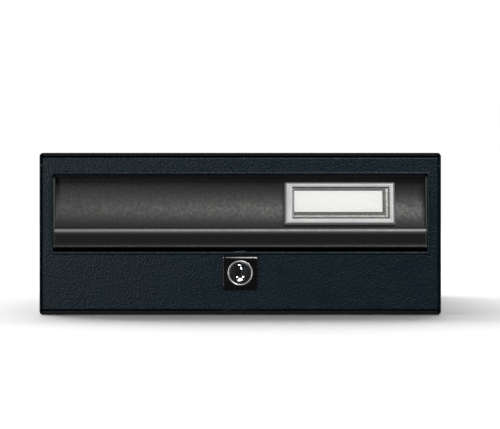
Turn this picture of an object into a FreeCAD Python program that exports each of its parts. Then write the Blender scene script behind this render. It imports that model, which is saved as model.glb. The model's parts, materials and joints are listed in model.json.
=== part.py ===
"""Cluster mailbox unit: one letter box module of a lobby cluster.

Frame: +Z up, the front faces -Y, +X to the right of somebody who faces the front.
The origin is the middle of the underside. All lengths are in millimetres.

A wrapped sheet casing holds a rear panel, two front rails, a keeper and the door stops.
The door hangs on two pins at its top edge. It carries the letter flap, a scooped
aluminium extrusion that swings inwards on a rod, and a cam lock.
"""
import FreeCAD, Part

import math
import os
import re

import Sketcher

Vector = FreeCAD.Vector
Rotation = FreeCAD.Rotation
X_AXIS = Vector(1, 0, 0)
Y_AXIS = Vector(0, 1, 0)
Z_AXIS = Vector(0, 0, 1)

# ---------------------------------------------------------------- driving dimensions
SIZES = {
    # body
    "front_width": 270.0,
    "front_height": 109.0,
    "body_depth": 375.0,
    "front_proud": 1.8,
    "sheet": 1.0,
    "bend_radius": 2.5,
    "seam_gap": 0.4,
    "seam_strip_width": 16.0,
    "seam_strip_start": 35.0,
    "fit_gap": 0.05,
    # rails at the mouth
    "top_rail": 1.0,
    "bottom_rail": 1.7,
    "rail_depth": 11.0,
    "rail_rivet_pitch": 110.0,
    "rivet_radius": 1.5,
    "rivet_head_radius": 2.8,
    "rivet_head_height": 0.8,
    "rivet_tail": 0.9,
    "press_gap": 0.02,
    # rear panel
    "rear_flange": 12.0,
    "wall_hole_radius": 3.25,
    "wall_hole_pitch_x": 200.0,
    "wall_hole_pitch_z": 60.0,
    "rear_rivet_pitch_x": 90.0,
    "rear_rivet_pitch_z": 60.0,
    # holes that join one module to the next
    "join_hole_radius": 2.75,
    "join_pitch_y": 255.0,
    "join_pitch_z": 50.0,
    "join_pitch_x": 200.0,
    # door stops
    "stop_pad_height": 14.0,
    "stop_pad_width": 5.0,
    "stop_pad_depth": 1.6,
    "stop_angle_reach": 7.0,
    "stop_angle_depth": 12.0,
    "stop_below_middle": 22.0,
    # door
    "door_side_gap": 0.35,
    "door_top_gap": 0.9,
    "door_bottom_gap": 0.7,
    "door_plate": 1.5,
    "door_flange": 12.0,
    "door_edge_round": 1.2,
    "door_corner": 1.5,
    "door_edge_soft": 0.7,
    "opening_edge_soft": 0.4,
    "side_strip": 7.5,
    "top_strip": 11.6,
    "lower_panel": 38.9,
    "sill_depth": 6.5,
    # door hinge
    "hinge_back": 4.0,
    "hinge_drop": 6.0,
    "hinge_pin_radius": 1.5,
    "running_gap": 0.05,
    "block_thickness": 4.5,
    "block_gap": 0.4,
    "block_skirt": 4.5,
    "block_back": 1.2,
    "block_round": 1.2,
    "block_rivet_back": 9.0,
    "block_rivet_drop": 7.6,
    "small_rivet_radius": 1.0,
    # flap
    "flap_end_gap": 0.4,
    "flap_slot": 2.4,
    "flap_wall": 1.5,
    "end_cap": 1.0,
    "scoop_depth": 9.1,
    "scoop_depth_top": 7.2,
    "scoop_depth_low": 1.15,
    "pivot_back": 9.5,
    "pivot_drop": 9.0,
    "rod_radius": 2.0,
    "eye_wall": 1.4,
    "spring_notch": 8.0,
    "spring_wire": 0.4,
    "spring_turns": 5.0,
    "spring_pitch": 0.96,
    "spring_play": 0.4,
    "spring_room": 0.6,
    "spring_end_gap": 0.8,
    "spring_leg": 15.0,
    "ridge_height": 11.2,
    "ridge_rise": 2.8,
    "ridge_proud": 0.3,
    "stop_pad": 0.8,
    "rest_gap": 0.3,
    # nameplate
    "ear_reach": 4.3,
    "ear_thickness": 2.6,
    "ear_height": 7.0,
    "ear_rise": 2.0,
    "cheek_back": 0.6,
    "cheek_drop": 1.0,
    "plate_screw_radius": 1.1,
    "plate_width": 74.6,
    "plate_height": 29.6,
    "plate_offset": 67.1,
    "plate_drop": 20.0,
    "plate_rise": 3.0,
    "plate_bevel": 1.6,
    "plate_corner": 0.5,
    "plate_screw_inset": 12.0,
    "plate_screw_bite": 0.9,
    "plate_screw_head": 2.2,
    "plate_screw_head_height": 1.4,
    "window_width": 65.2,
    "window_height": 21.6,
    "window_thickness": 0.8,
    "window_lip": 0.5,
    "window_overlap": 1.0,
    "window_shift_x": 0.7,
    "window_shift_up": 0.3,
    "card_width": 59.5,
    "card_height": 14.6,
    "card_thickness": 0.4,
    "card_room": 0.6,
    "card_below_window": 0.3,
    "card_shift_x": 1.7,
    "card_shift_up": 1.3,
    # lock
    "lock_drop": 14.1,
    "escutcheon_side": 23.3,
    "escutcheon_rise": 0.6,
    "escutcheon_thickness": 1.5,
    "escutcheon_corner": 2.0,
    "escutcheon_soft": 0.5,
    "lock_ring_radius": 8.5,
    "lock_ring_round": 0.4,
    "lock_face_radius": 7.4,
    "lock_body_radius": 8.0,
    "plug_radius": 6.0,
    "lock_length": 16.0,
    "nut_flats": 20.0,
    "nut_thickness": 3.0,
    "cam_reach": 14.5,
    "cam_thickness": 2.0,
    "cam_gap": 1.2,
    "cam_width": 9.0,
    "cam_hub_radius": 6.3,
    "cam_play": 0.2,
    "shank_side": 6.0,
    "washer_radius": 4.5,
    "washer_thickness": 0.8,
    "cam_screw_radius": 1.5,
    "cam_screw_head_radius": 3.4,
    "cam_screw_head": 2.0,
    "cam_screw_length": 5.0,
    "lock_face_depth": 0.2,
    "keyway_width": 1.5,
    "keyway_height": 8.8,
    "keyway_depth": 13.0,
    "ward_width": 0.95,
    "ward_rise": 1.2,
    "ward_height": 1.0,
    "wafer_first": 2.2,
    "wafer_pitch": 2.2,
    "wafer_thickness": 0.7,
    "wafer_width": 6.0,
    "wafer_height": 10.0,
    "keeper_overlap": 3.3,
    "keeper_width": 24.0,
    "keeper_thickness": 2.0,
    "keeper_foot": 16.0,
}

# Places that follow from the driving dimensions. Each is text in the sheet's aliases.
PLACES = {
    "rim_y": "-(body_depth - front_proud) / 2",
    "rear_y": "rim_y + body_depth",
    "half_width": "front_width / 2",
    "inner_half": "half_width - sheet",
    "middle_height": "front_height / 2",
    "door_half": "inner_half - door_side_gap",
    "door_top": "front_height - sheet - top_rail - door_top_gap",
    "door_bottom": "sheet + bottom_rail + door_bottom_gap",
    "opening_half": "door_half - side_strip",
    "opening_top": "door_top - top_strip",
    "opening_bottom": "door_bottom + lower_panel",
    "hinge_y": "rim_y + hinge_back",
    "hinge_z": "door_top - hinge_drop",
    "pivot_y": "rim_y + pivot_back",
    "pivot_z": "door_top - pivot_drop",
    "flap_half": "opening_half - flap_end_gap",
    "flap_bottom": "opening_bottom + flap_slot",
    "flange_inner": "door_half - door_plate",
    "block_inner": "flange_inner - block_thickness",
    "eye_radius": "rod_radius + eye_wall",
    "scoop_low": "flap_bottom + ridge_height + ridge_rise",
    "lock_height": "opening_bottom - lock_drop",
    "lock_rear": "rim_y + lock_length",
    "cam_front": "lock_rear + cam_gap",
    "keeper_rear": "cam_front - 1",
    "keeper_top": "lock_height - cam_reach + keeper_overlap",
}

WAFERS = 5

SHEET_NAME = "sizes"
doc = FreeCAD.newDocument("cluster_mailbox_unit")
sheet = doc.addObject("Spreadsheet::Sheet", SHEET_NAME)
for row, (alias, value) in enumerate(SIZES.items(), start=1):
    sheet.set(f"A{row}", alias)
    sheet.set(f"B{row}", str(value))
    sheet.setAlias(f"B{row}", alias)
doc.recompute()

WORD = re.compile(r"[a-z][a-z0-9_]*")


def expand(text):
    """Write places out in the sheet's aliases, as an expression that FreeCAD can hold."""

    def swap(match):
        word = match.group()
        if word in SIZES:
            return f"{SHEET_NAME}.{word}"
        if word in PLACES:
            return f"({expand(PLACES[word])})"
        return word

    return WORD.sub(swap, str(text))


def number(text):
    """The value that an expression has now, in millimetres."""
    return float(sheet.evalExpression(expand(text)))


# ---------------------------------------------------------------- document helpers
NODES = []


def node(thing, label):
    """Name a finished sub-part and keep it for export."""
    thing.Label = label
    NODES.append(thing)
    return thing


def body_for(label):
    return node(doc.addObject("PartDesign::Body", label), label)


def sketch_on(body, name, role, offset):
    """A sketch on one of the body's origin planes, moved along the plane's normal."""
    plane = next(item for item in body.Origin.OriginFeatures if item.Role == role)
    sketch = body.newObject("Sketcher::SketchObject", name)
    sketch.AttachmentSupport = [(plane, "")]
    sketch.MapMode = "FlatFace"
    sketch.setExpression("AttachmentOffset.Base.z", expand(offset))
    return sketch


def hold(sketch, kind, geometry, point, text):
    """Tie one coordinate of a point to the sheet, measured from the sketch's origin."""
    index = sketch.addConstraint(Sketcher.Constraint(kind, -1, 1, geometry, point, number(text)))
    sketch.setExpression(f"Constraints[{index}]", expand(text))


def outline(sketch, corners):
    """A closed polygon whose corners are pairs of expressions."""
    values = [Vector(number(across), number(up), 0) for across, up in corners]
    lines = []
    for start, end in zip(values, values[1:] + values[:1]):
        lines.append(sketch.addGeometry(Part.LineSegment(start, end), False))
    for line, after in zip(lines, lines[1:] + lines[:1]):
        sketch.addConstraint(Sketcher.Constraint("Coincident", line, 2, after, 1))
    for line, (across, up) in zip(lines, corners):
        hold(sketch, "DistanceX", line, 1, across)
        hold(sketch, "DistanceY", line, 1, up)
    return sketch


def rectangle(sketch, left, bottom, right, top):
    return outline(sketch, [(left, bottom), (right, bottom), (right, top), (left, top)])


def circle(sketch, across, up, radius):
    """A circle with its centre and radius tied to the sheet."""
    centre = Vector(number(across), number(up), 0)
    ring = sketch.addGeometry(Part.Circle(centre, Z_AXIS, number(radius)), False)
    hold(sketch, "DistanceX", ring, 3, across)
    hold(sketch, "DistanceY", ring, 3, up)
    index = sketch.addConstraint(Sketcher.Constraint("Radius", ring, number(radius)))
    sketch.setExpression(f"Constraints[{index}]", expand(radius))
    return sketch


def grow(body, sketch, length, backwards=False):
    """Pad a sketch along its normal, or against it."""
    pad = body.newObject("PartDesign::Pad", sketch.Name + "_pad")
    pad.Profile = sketch
    pad.setExpression("Length", expand(length))
    pad.Reversed = backwards
    doc.recompute()
    return pad


def carve(body, sketch, length, backwards=False):
    """Pocket a sketch and insist that something was cut away."""
    before = body.Shape.Volume
    pocket = body.newObject("PartDesign::Pocket", sketch.Name + "_pocket")
    pocket.Profile = sketch
    pocket.setExpression("Length", expand(length))
    pocket.Reversed = backwards
    doc.recompute()
    if body.Shape.Volume > before - 0.01:
        raise ValueError(f"{sketch.Name} cut nothing from {body.Label}")
    return pocket


def round_edges(body, radius, wanted):
    """Fillet the edges of the body's tip that a test picks out."""
    tip = body.Tip
    names = [f"Edge{n}" for n, edge in enumerate(tip.Shape.Edges, start=1) if wanted(edge)]
    if not names:
        raise ValueError(f"no edge to round on {body.Label}")
    fillet = body.newObject("PartDesign::Fillet", f"{body.Name}_round")
    fillet.Base = (tip, names)
    fillet.setExpression("Radius", expand(radius))
    doc.recompute()
    return fillet


def runs_along(edge, axis):
    """True for a straight edge that runs along an axis."""
    if not isinstance(edge.Curve, Part.Line):
        return False
    return edge.tangentAt(edge.FirstParameter).cross(axis).Length < 1e-6


def near(value, text):
    return abs(value - number(text)) < 1e-3


def feature(label, shape, placement=None):
    """A sub-part whose shape is built with Part's own functions from the sheet."""
    thing = doc.addObject("Part::Feature", label)
    thing.Shape = shape
    if placement is not None:
        thing.Placement = placement
    return node(thing, label)


def cylinder(radius, length, start, direction):
    return Part.makeCylinder(radius, length, start, direction)


def block(low, high):
    """A box between two opposite corners."""
    return Part.makeBox(high.x - low.x, high.y - low.y, high.z - low.z, low)


def mirrored(shape):
    return shape.mirror(Vector(0, 0, 0), X_AXIS)


def both_sides(shape):
    """A piece and its mirror image on the other side, as one group of two solids."""
    return Part.makeCompound([shape, mirrored(shape)])


# ---------------------------------------------------------------- flush rivets
def rivet_core(place, inwards, grip):
    """The countersunk head and the shank, which end flush on both sides of the grip."""
    head = number("rivet_head_radius")
    shank = number("rivet_radius")
    depth = number("rivet_head_height")
    cone = Part.makeCone(head, shank, depth, place, inwards)
    pin = cylinder(shank, grip - depth, place + inwards * depth, inwards)
    return cone.fuse(pin).removeSplitter()


def upset_rivet(place, inwards, grip):
    """A countersunk rivet whose tail is upset into a low cone on the inside."""
    shank = number("rivet_radius")
    tail = Part.makeCone(shank * 1.5, shank * 0.9, number("rivet_tail"),
                         place + inwards * grip, inwards)
    return rivet_core(place, inwards, grip).fuse(tail).removeSplitter()


def rail_rivet_places():
    """Outside point, inward direction and grip of each rivet through the rails."""
    pitch = number("rail_rivet_pitch")
    across = number("rim_y + rail_depth / 2")
    for x in (-pitch, pitch / 2, -pitch / 2, pitch):
        yield Vector(x, across, 0), Z_AXIS, number("sheet + bottom_rail")
        yield Vector(x, across, number("front_height")), -Z_AXIS, number("sheet + top_rail")


def rear_rivet_places():
    """Outside point, inward direction and grip of each rivet round the rear panel."""
    along = number("rear_y - rear_flange / 2")
    grip = number("2 * sheet + fit_gap")
    pitch_x = number("rear_rivet_pitch_x")
    half_z = number("rear_rivet_pitch_z / 2")
    middle = number("middle_height")
    for x in (-pitch_x, pitch_x):
        yield Vector(x, along, 0), Z_AXIS, grip
        yield Vector(x, along, number("front_height")), -Z_AXIS, grip
    for z in (middle - half_z, middle + half_z):
        yield Vector(number("-half_width"), along, z), X_AXIS, grip
        yield Vector(number("half_width"), along, z), -X_AXIS, grip


def rivet_group(label, places, shape):
    return feature(label, Part.makeCompound([shape(*place) for place in places]))


def cut_for_rivets(body, places):
    """Subtract the room that flush rivets take from a finished body, as a new sub-part."""
    label = body.Label
    tools = doc.addObject("Part::Feature", label + "_rivet_room")
    tools.Shape = Part.makeCompound([rivet_core(*place) for place in places])
    cut = doc.addObject("Part::Cut", label + "_with_rivet_holes")
    cut.Base = body
    cut.Tool = tools
    NODES.remove(body)
    body.Label = label + "_blank"
    return node(cut, label)


# ---------------------------------------------------------------- body
def make_casing():
    """One wrapped sheet, open at both ends, with its butt seam along the underside."""
    body = body_for("body_casing")
    skin = sketch_on(body, "casing_skin", "XZ_Plane", "-rim_y")
    rectangle(skin, "-half_width", "0", "half_width", "front_height")
    grow(body, skin, "body_depth", backwards=True)
    round_edges(body, "bend_radius", lambda edge: runs_along(edge, Y_AXIS))
    hollow = sketch_on(body, "casing_hollow", "XZ_Plane", "-rim_y")
    inner_corner = "bend_radius - sheet"
    rounded_rectangle(hollow, "inner_half", "sheet", "front_height - sheet", inner_corner)
    carve(body, hollow, "body_depth")
    seam = sketch_on(body, "casing_seam", "XZ_Plane", "-rim_y")
    rectangle(seam, "-seam_gap / 2", "-1", "seam_gap / 2", "2 * sheet")
    carve(body, seam, "body_depth")
    join_holes(body)
    pins = sketch_on(body, "casing_hinge_holes", "YZ_Plane", "-half_width - 1")
    circle(pins, "hinge_y", "hinge_z", "hinge_pin_radius + running_gap")
    carve(body, pins, "front_width + 2", backwards=True)
    return cut_for_rivets(body, list(rail_rivet_places()) + list(rear_rivet_places()))


def rounded_rectangle(sketch, half, bottom, top, corner):
    """A rectangle centred on the sketch's vertical axis, with chamfer-free round corners."""
    left, right = -number(half), number(half)
    low, high, radius = number(bottom), number(top), number(corner)
    turn = math.pi / 2
    centres = [(right - radius, high - radius), (left + radius, high - radius),
               (left + radius, low + radius), (right - radius, low + radius)]
    arcs = []
    for quarter, (across, up) in enumerate(centres):
        ring = Part.Circle(Vector(across, up, 0), Z_AXIS, radius)
        arc = Part.ArcOfCircle(ring, quarter * turn, (quarter + 1) * turn)
        arcs.append(sketch.addGeometry(arc, False))
    lines = []
    for here, after in zip(arcs, arcs[1:] + arcs[:1]):
        start = sketch.getPoint(here, 2)
        end = sketch.getPoint(after, 1)
        lines.append(sketch.addGeometry(Part.LineSegment(start, end), False))
    for line, here, after in zip(lines, arcs, arcs[1:] + arcs[:1]):
        sketch.addConstraint(Sketcher.Constraint("Tangent", here, 2, line, 1))
        sketch.addConstraint(Sketcher.Constraint("Tangent", line, 2, after, 1))
    for line, kind in zip(lines, ("Horizontal", "Vertical", "Horizontal", "Vertical")):
        sketch.addConstraint(Sketcher.Constraint(kind, line))
    for arc in arcs[1:]:
        sketch.addConstraint(Sketcher.Constraint("Equal", arcs[0], arc))
    index = sketch.addConstraint(Sketcher.Constraint("Radius", arcs[0], radius))
    sketch.setExpression(f"Constraints[{index}]", expand(corner))
    hold(sketch, "DistanceY", lines[0], 1, top)
    hold(sketch, "DistanceX", lines[1], 1, f"-({half})")
    hold(sketch, "DistanceY", lines[2], 1, bottom)
    hold(sketch, "DistanceX", lines[3], 1, half)
    return sketch


def join_holes(body):
    """Holes through the sides, the roof and the floor that bolt modules together."""
    middle_y = "rim_y + body_depth / 2"
    sides = sketch_on(body, "side_join_holes", "YZ_Plane", "-half_width - 1")
    upright = sketch_on(body, "stack_join_holes", "XY_Plane", "-1")
    for step in ("- join_pitch_y / 2", "+ join_pitch_y / 2"):
        for rise in ("- join_pitch_z / 2", "+ join_pitch_z / 2"):
            circle(sides, f"{middle_y} {step}", f"middle_height {rise}", "join_hole_radius")
        for shift in ("-join_pitch_x / 2", "join_pitch_x / 2"):
            circle(upright, shift, f"{middle_y} {step}", "join_hole_radius")
    carve(body, sides, "front_width + 2", backwards=True)
    carve(body, upright, "front_height + 2", backwards=True)


def make_seam_strip():
    """A flat strip welded over the seam, on the inside of the floor."""
    body = body_for("seam_strip")
    strip = sketch_on(body, "seam_strip_plan", "XY_Plane", "sheet")
    rectangle(strip, "-seam_strip_width / 2", "rim_y + seam_strip_start",
              "seam_strip_width / 2", "rear_y - rear_flange - 2 * sheet")
    grow(body, strip, "sheet")


def make_rails():
    """Two flat bars that stiffen the mouth, one under the roof and one on the floor."""
    inset = "inner_half - bend_radius + sheet - fit_gap"
    places = {
        "top_rail": ("front_height - sheet - top_rail", "top_rail"),
        "bottom_rail": ("sheet", "bottom_rail"),
    }
    for label, (level, height) in places.items():
        body = body_for(label)
        plan = sketch_on(body, label + "_plan", "XY_Plane", level)
        rectangle(plan, f"-({inset})", "rim_y", inset, "rim_y + rail_depth")
        grow(body, plan, height)
        cut_for_rivets(body, rail_rivet_places())
    rivet_group("rail_rivets", rail_rivet_places(), rivet_core)


def make_rear_panel():
    """A pressed tray that closes the back, with four holes for the wall screws."""
    body = body_for("rear_panel")
    face = sketch_on(body, "rear_outline", "XZ_Plane", "-rear_y")
    corner = "bend_radius - sheet - fit_gap"
    rounded_rectangle(face, "inner_half - fit_gap", "sheet + fit_gap",
                      "front_height - sheet - fit_gap", corner)
    grow(body, face, "rear_flange")
    inside = sketch_on(body, "rear_inside", "XZ_Plane", "-(rear_y - rear_flange)")
    half = "inner_half - fit_gap - sheet"
    rectangle(inside, f"-({half})", "2 * sheet + fit_gap", half,
              "front_height - 2 * sheet - fit_gap")
    carve(body, inside, "rear_flange - sheet")
    holes = sketch_on(body, "wall_holes", "XZ_Plane", "-rear_y - 1")
    for across in ("-wall_hole_pitch_x / 2", "wall_hole_pitch_x / 2"):
        for rise in ("- wall_hole_pitch_z / 2", "+ wall_hole_pitch_z / 2"):
            circle(holes, across, f"middle_height {rise}", "wall_hole_radius")
    carve(body, holes, "3 * sheet", backwards=True)
    cut_for_rivets(body, rear_rivet_places())
    rivet_group("rear_rivets", rear_rivet_places(), upset_rivet)


def make_keeper():
    """A steel angle welded to the floor; the lock's cam turns down behind its upstand."""
    body = body_for("lock_keeper")
    side = sketch_on(body, "keeper_side", "YZ_Plane", "-keeper_width / 2")
    front = "keeper_rear - keeper_thickness"
    foot_end = "keeper_rear - keeper_thickness + keeper_foot"
    outline(side, [(front, "sheet"), (foot_end, "sheet"), (foot_end, "sheet + keeper_thickness"),
                   ("keeper_rear", "sheet + keeper_thickness"), ("keeper_rear", "keeper_top"),
                   (front, "keeper_top")])
    grow(body, side, "keeper_width")


def make_door_stops():
    """Angles on the side walls behind the door's flanges, each with a rubber buffer."""
    wall = number("inner_half")
    tip = wall - number("stop_angle_reach")
    pad_front = number("rim_y + door_flange + rest_gap")
    leg_front = pad_front + number("stop_pad_depth")
    leg_back = leg_front + number("sheet")
    middle = number("middle_height - stop_below_middle")
    half = number("stop_pad_height / 2")
    margin = (number("stop_angle_reach") - number("stop_pad_width")) / 4
    leg = block(Vector(tip, leg_front, middle - half - margin),
                Vector(wall, leg_back, middle + half + margin))
    flat = block(Vector(wall - number("sheet"), leg_front, middle - half - margin),
                 Vector(wall, leg_front + number("stop_angle_depth"), middle + half + margin))
    angle = leg.fuse(flat).removeSplitter()
    pad = block(Vector(tip + margin, pad_front, middle - half),
                Vector(tip + margin + number("stop_pad_width"), leg_front, middle + half))
    pad = pad.makeFillet(margin, [edge for edge in pad.Edges if runs_along(edge, Y_AXIS)])
    feature("door_stop_angles", both_sides(angle))
    feature("door_stop_buffers", both_sides(pad))


# ---------------------------------------------------------------- door
def make_door_panel():
    """A folded pan: face, four flanges, the letter opening with its sill, and the holes."""
    body = body_for("door_panel")
    face = sketch_on(body, "door_face", "XZ_Plane", "-rim_y")
    rectangle(face, "-door_half", "door_bottom", "door_half", "door_top")
    grow(body, face, "door_flange", backwards=True)
    front = number("rim_y")

    def is_top_front(edge):
        middle = edge.CenterOfMass
        return runs_along(edge, X_AXIS) and near(middle.z, "door_top") and near(middle.y, front)

    def is_corner(edge):
        return runs_along(edge, Y_AXIS)

    round_edges(body, "door_edge_round", is_top_front)
    round_edges(body, "door_corner", is_corner)
    inside = sketch_on(body, "door_inside", "XZ_Plane", "-(rim_y + door_flange)")
    rectangle(inside, "-door_half + door_plate", "door_bottom + door_plate",
              "door_half - door_plate", "door_top - door_plate")
    carve(body, inside, "door_flange - door_plate", backwards=True)
    sill = sketch_on(body, "door_sill", "XZ_Plane", "-(rim_y + door_plate)")
    rectangle(sill, "-opening_half", "opening_bottom - door_plate", "opening_half",
              "opening_bottom")
    grow(body, sill, "sill_depth", backwards=True)
    opening = sketch_on(body, "letter_opening", "XZ_Plane", "-rim_y + 1")
    rectangle(opening, "-opening_half", "opening_bottom", "opening_half", "opening_top")
    carve(body, opening, "door_plate + 2")

    def lies_in_face(edge):
        box = edge.BoundBox
        return abs(box.YMin - front) < 1e-3 and abs(box.YMax - front) < 1e-3

    def is_opening_edge(edge):
        inside = abs(edge.CenterOfMass.x) < number("opening_half") + 1
        low, high = number("opening_bottom") - 1, number("opening_top") + 1
        return lies_in_face(edge) and inside and low < edge.CenterOfMass.z < high

    def is_outer_edge(edge):
        below_round = edge.CenterOfMass.z < number("door_top - door_edge_round") - 1e-3
        return lies_in_face(edge) and below_round and not is_opening_edge(edge)

    round_edges(body, "opening_edge_soft", is_opening_edge)
    round_edges(body, "door_edge_soft", is_outer_edge)
    lock = sketch_on(body, "lock_hole", "XZ_Plane", "-rim_y + 1")
    circle(lock, "0", "lock_height", "lock_body_radius + running_gap")
    carve(body, lock, "door_plate + 2")
    pins = sketch_on(body, "door_hinge_holes", "YZ_Plane", "-half_width")
    circle(pins, "hinge_y", "hinge_z", "hinge_pin_radius + press_gap")
    carve(body, pins, "front_width", backwards=True)
    rivets = sketch_on(body, "block_rivet_holes", "YZ_Plane", "-half_width")
    circle(rivets, "rim_y + block_rivet_back", "hinge_z - block_rivet_drop",
           "small_rivet_radius + press_gap")
    carve(body, rivets, "front_width", backwards=True)


def block_rivet_place():
    """Where the rivet through the right flange and pivot block starts, on the flange."""
    return Vector(number("door_half"), number("rim_y + block_rivet_back"),
                  number("hinge_z - block_rivet_drop"))


def make_pivot_blocks():
    """Moulded blocks in the door's upper corners that hold the hinge pins and the flap rod."""
    low = Vector(number("block_inner"), number("rim_y + door_plate + block_gap"),
                 number("opening_top - block_skirt"))
    high = Vector(number("flange_inner"), number("rim_y + door_flange + block_back"),
                  number("door_top - door_plate - block_gap"))
    base = block(low, high)
    base = base.makeFillet(number("block_round"),
                           [edge for edge in base.Edges if runs_along(edge, X_AXIS)])
    pin_start = Vector(number("block_inner + 1"), number("hinge_y"), number("hinge_z"))
    pin_bore = cylinder(number("hinge_pin_radius + press_gap"), 20, pin_start, X_AXIS)
    rod_start = Vector(low.x, number("pivot_y"), number("pivot_z"))
    rod_bore = cylinder(number("rod_radius + running_gap"), number("block_thickness - 0.5"),
                        rod_start, X_AXIS)
    rivet_bore = cylinder(number("small_rivet_radius + press_gap"), 20, block_rivet_place(),
                          -X_AXIS)
    right = base.cut([pin_bore, rod_bore, rivet_bore])
    feature("pivot_block_right", right)
    feature("pivot_block_left", mirrored(right))


def make_hinge_pins():
    """Two pins pressed into the pivot blocks; their ends turn in the casing's sides."""
    start = number("block_inner + 1")
    end = number("half_width - 0.1")
    pin = cylinder(number("hinge_pin_radius"), end - start,
                   Vector(start, number("hinge_y"), number("hinge_z")), X_AXIS)
    feature("hinge_pins", both_sides(pin))


def make_block_rivets():
    """One rivet through each pivot block, flush in the door's side flange."""
    radius = number("small_rivet_radius")
    length = number("door_plate + block_thickness")
    place = block_rivet_place()
    shank = cylinder(radius, length, place, -X_AXIS)
    tail = Part.makeCone(radius * 1.7, radius, 0.8, place - X_AXIS * length, -X_AXIS)
    rivet = shank.fuse(tail).removeSplitter()
    feature("pivot_block_rivets", both_sides(rivet))


# ---------------------------------------------------------------- flap
def scoop_circle():
    """Radius and centre of the scoop's arc.

    The arc touches the scoop's full depth and passes through the depths that are set at
    the opening's top and at the ridge. A wider circle always spans more height between
    those two depths, so the radius is found by halving.
    """
    rise_top = number("scoop_depth - scoop_depth_top")
    rise_low = number("scoop_depth - scoop_depth_low")
    span = number("opening_top - scoop_low")

    def reach(radius, rise):
        return math.sqrt(2 * radius * rise - rise * rise)

    small, large = rise_low, span * span
    while large - small > 1e-9:
        radius = (small + large) / 2
        if reach(radius, rise_top) + reach(radius, rise_low) < span:
            small = radius
        else:
            large = radius
    middle_z = number("opening_top") - reach(radius, rise_top)
    return radius, Vector(0, number("rim_y + scoop_depth") - radius, middle_z)


def scoop_point(height, behind=0.0):
    """A point of the scoop's arc at a height, or of the wall's back when behind is given."""
    radius, middle = scoop_circle()
    rise = height - middle.z
    depth = math.sqrt((radius + behind) ** 2 - rise * rise)
    return Vector(0, middle.y + depth, height)


def scoop_arc(low, high, behind=0.0):
    """The scoop's arc between two heights, from low to high."""
    middle = scoop_point((low + high) / 2, behind)
    return Part.Arc(scoop_point(low, behind), middle, scoop_point(high, behind)).toShape()


def flap_section():
    """The closed section of the flap's wall, in the plane x = 0.

    A scoop runs down to a rounded finger ridge. Below the ridge a flat band leans
    inwards and ends in a small bead along the lower edge.
    """
    rim = number("rim_y")
    wall = number("flap_wall")
    bottom = number("flap_bottom")
    ridge = bottom + number("ridge_height")
    top = number("opening_top + 1")
    shoulder = number("scoop_low")

    def at(back, height):
        return Vector(0, rim + back, height)

    scoop_low = scoop_point(shoulder)
    band_top = at(0.05, ridge - number("ridge_rise") / 2)
    band_low = at(1.7, bottom + 2.9)
    bead_top = at(0.9, bottom + 2.2)
    bead_low = at(0.9, bottom + 0.4)
    edge_front = at(1.4, bottom)
    back = scoop_point(shoulder, wall)
    edge_back = Vector(0, back.y, bottom)
    edges = [
        scoop_arc(shoulder, top),
        Part.LineSegment(scoop_point(top), scoop_point(top, wall)).toShape(),
        scoop_arc(shoulder, top, wall),
        Part.LineSegment(back, edge_back).toShape(),
        Part.LineSegment(edge_back, edge_front).toShape(),
        Part.LineSegment(edge_front, bead_low).toShape(),
        Part.Arc(bead_low, at(0.5, bottom + 1.3), bead_top).toShape(),
        Part.LineSegment(bead_top, band_low).toShape(),
        Part.LineSegment(band_low, band_top).toShape(),
        Part.Arc(band_top, at(-number("ridge_proud"), ridge), scoop_low).toShape(),
    ]
    wire = Part.Wire(Part.__sortEdges__(edges))
    return Part.Face(wire)


def flap_slice(left, right, eye_left, eye_right):
    """The flap's section drawn out from left to right, with the eye round the rod."""
    wall = flap_section()
    wall.translate(X_AXIS * left)
    wall = wall.extrude(X_AXIS * (right - left))
    eye_start = Vector(eye_left, number("pivot_y"), number("pivot_z"))
    eye = cylinder(number("eye_radius"), eye_right - eye_left, eye_start, X_AXIS)
    bore_start = Vector(left - 1, number("pivot_y"), number("pivot_z"))
    bore = cylinder(number("rod_radius + press_gap"), right - left + 2, bore_start, X_AXIS)
    return wall.fuse(eye).cut(bore).removeSplitter()


def cheek(left, right):
    """The part of an end cap that fills the scoop's end, nearly flush with the door."""
    low = number("scoop_low")
    high = number("opening_top - cheek_drop")
    front = number("rim_y + cheek_back")
    arc = scoop_arc(low, high)
    corners = [scoop_point(low), Vector(0, front, low), Vector(0, front, high - 2),
               Vector(0, front + 2, high), scoop_point(high)]
    lines = [Part.LineSegment(a, b).toShape() for a, b in zip(corners, corners[1:])]
    face = Part.Face(Part.Wire(Part.__sortEdges__([arc] + lines)))
    face.translate(X_AXIS * left)
    return face.extrude(X_AXIS * (right - left))


def nameplate_screw_places():
    """Two points on the nameplate's middle line, in the nameplate's own frame."""
    reach = number("plate_width / 2 - plate_screw_inset")
    return [Vector(-reach, 0, 0), Vector(reach, 0, 0)]


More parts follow.
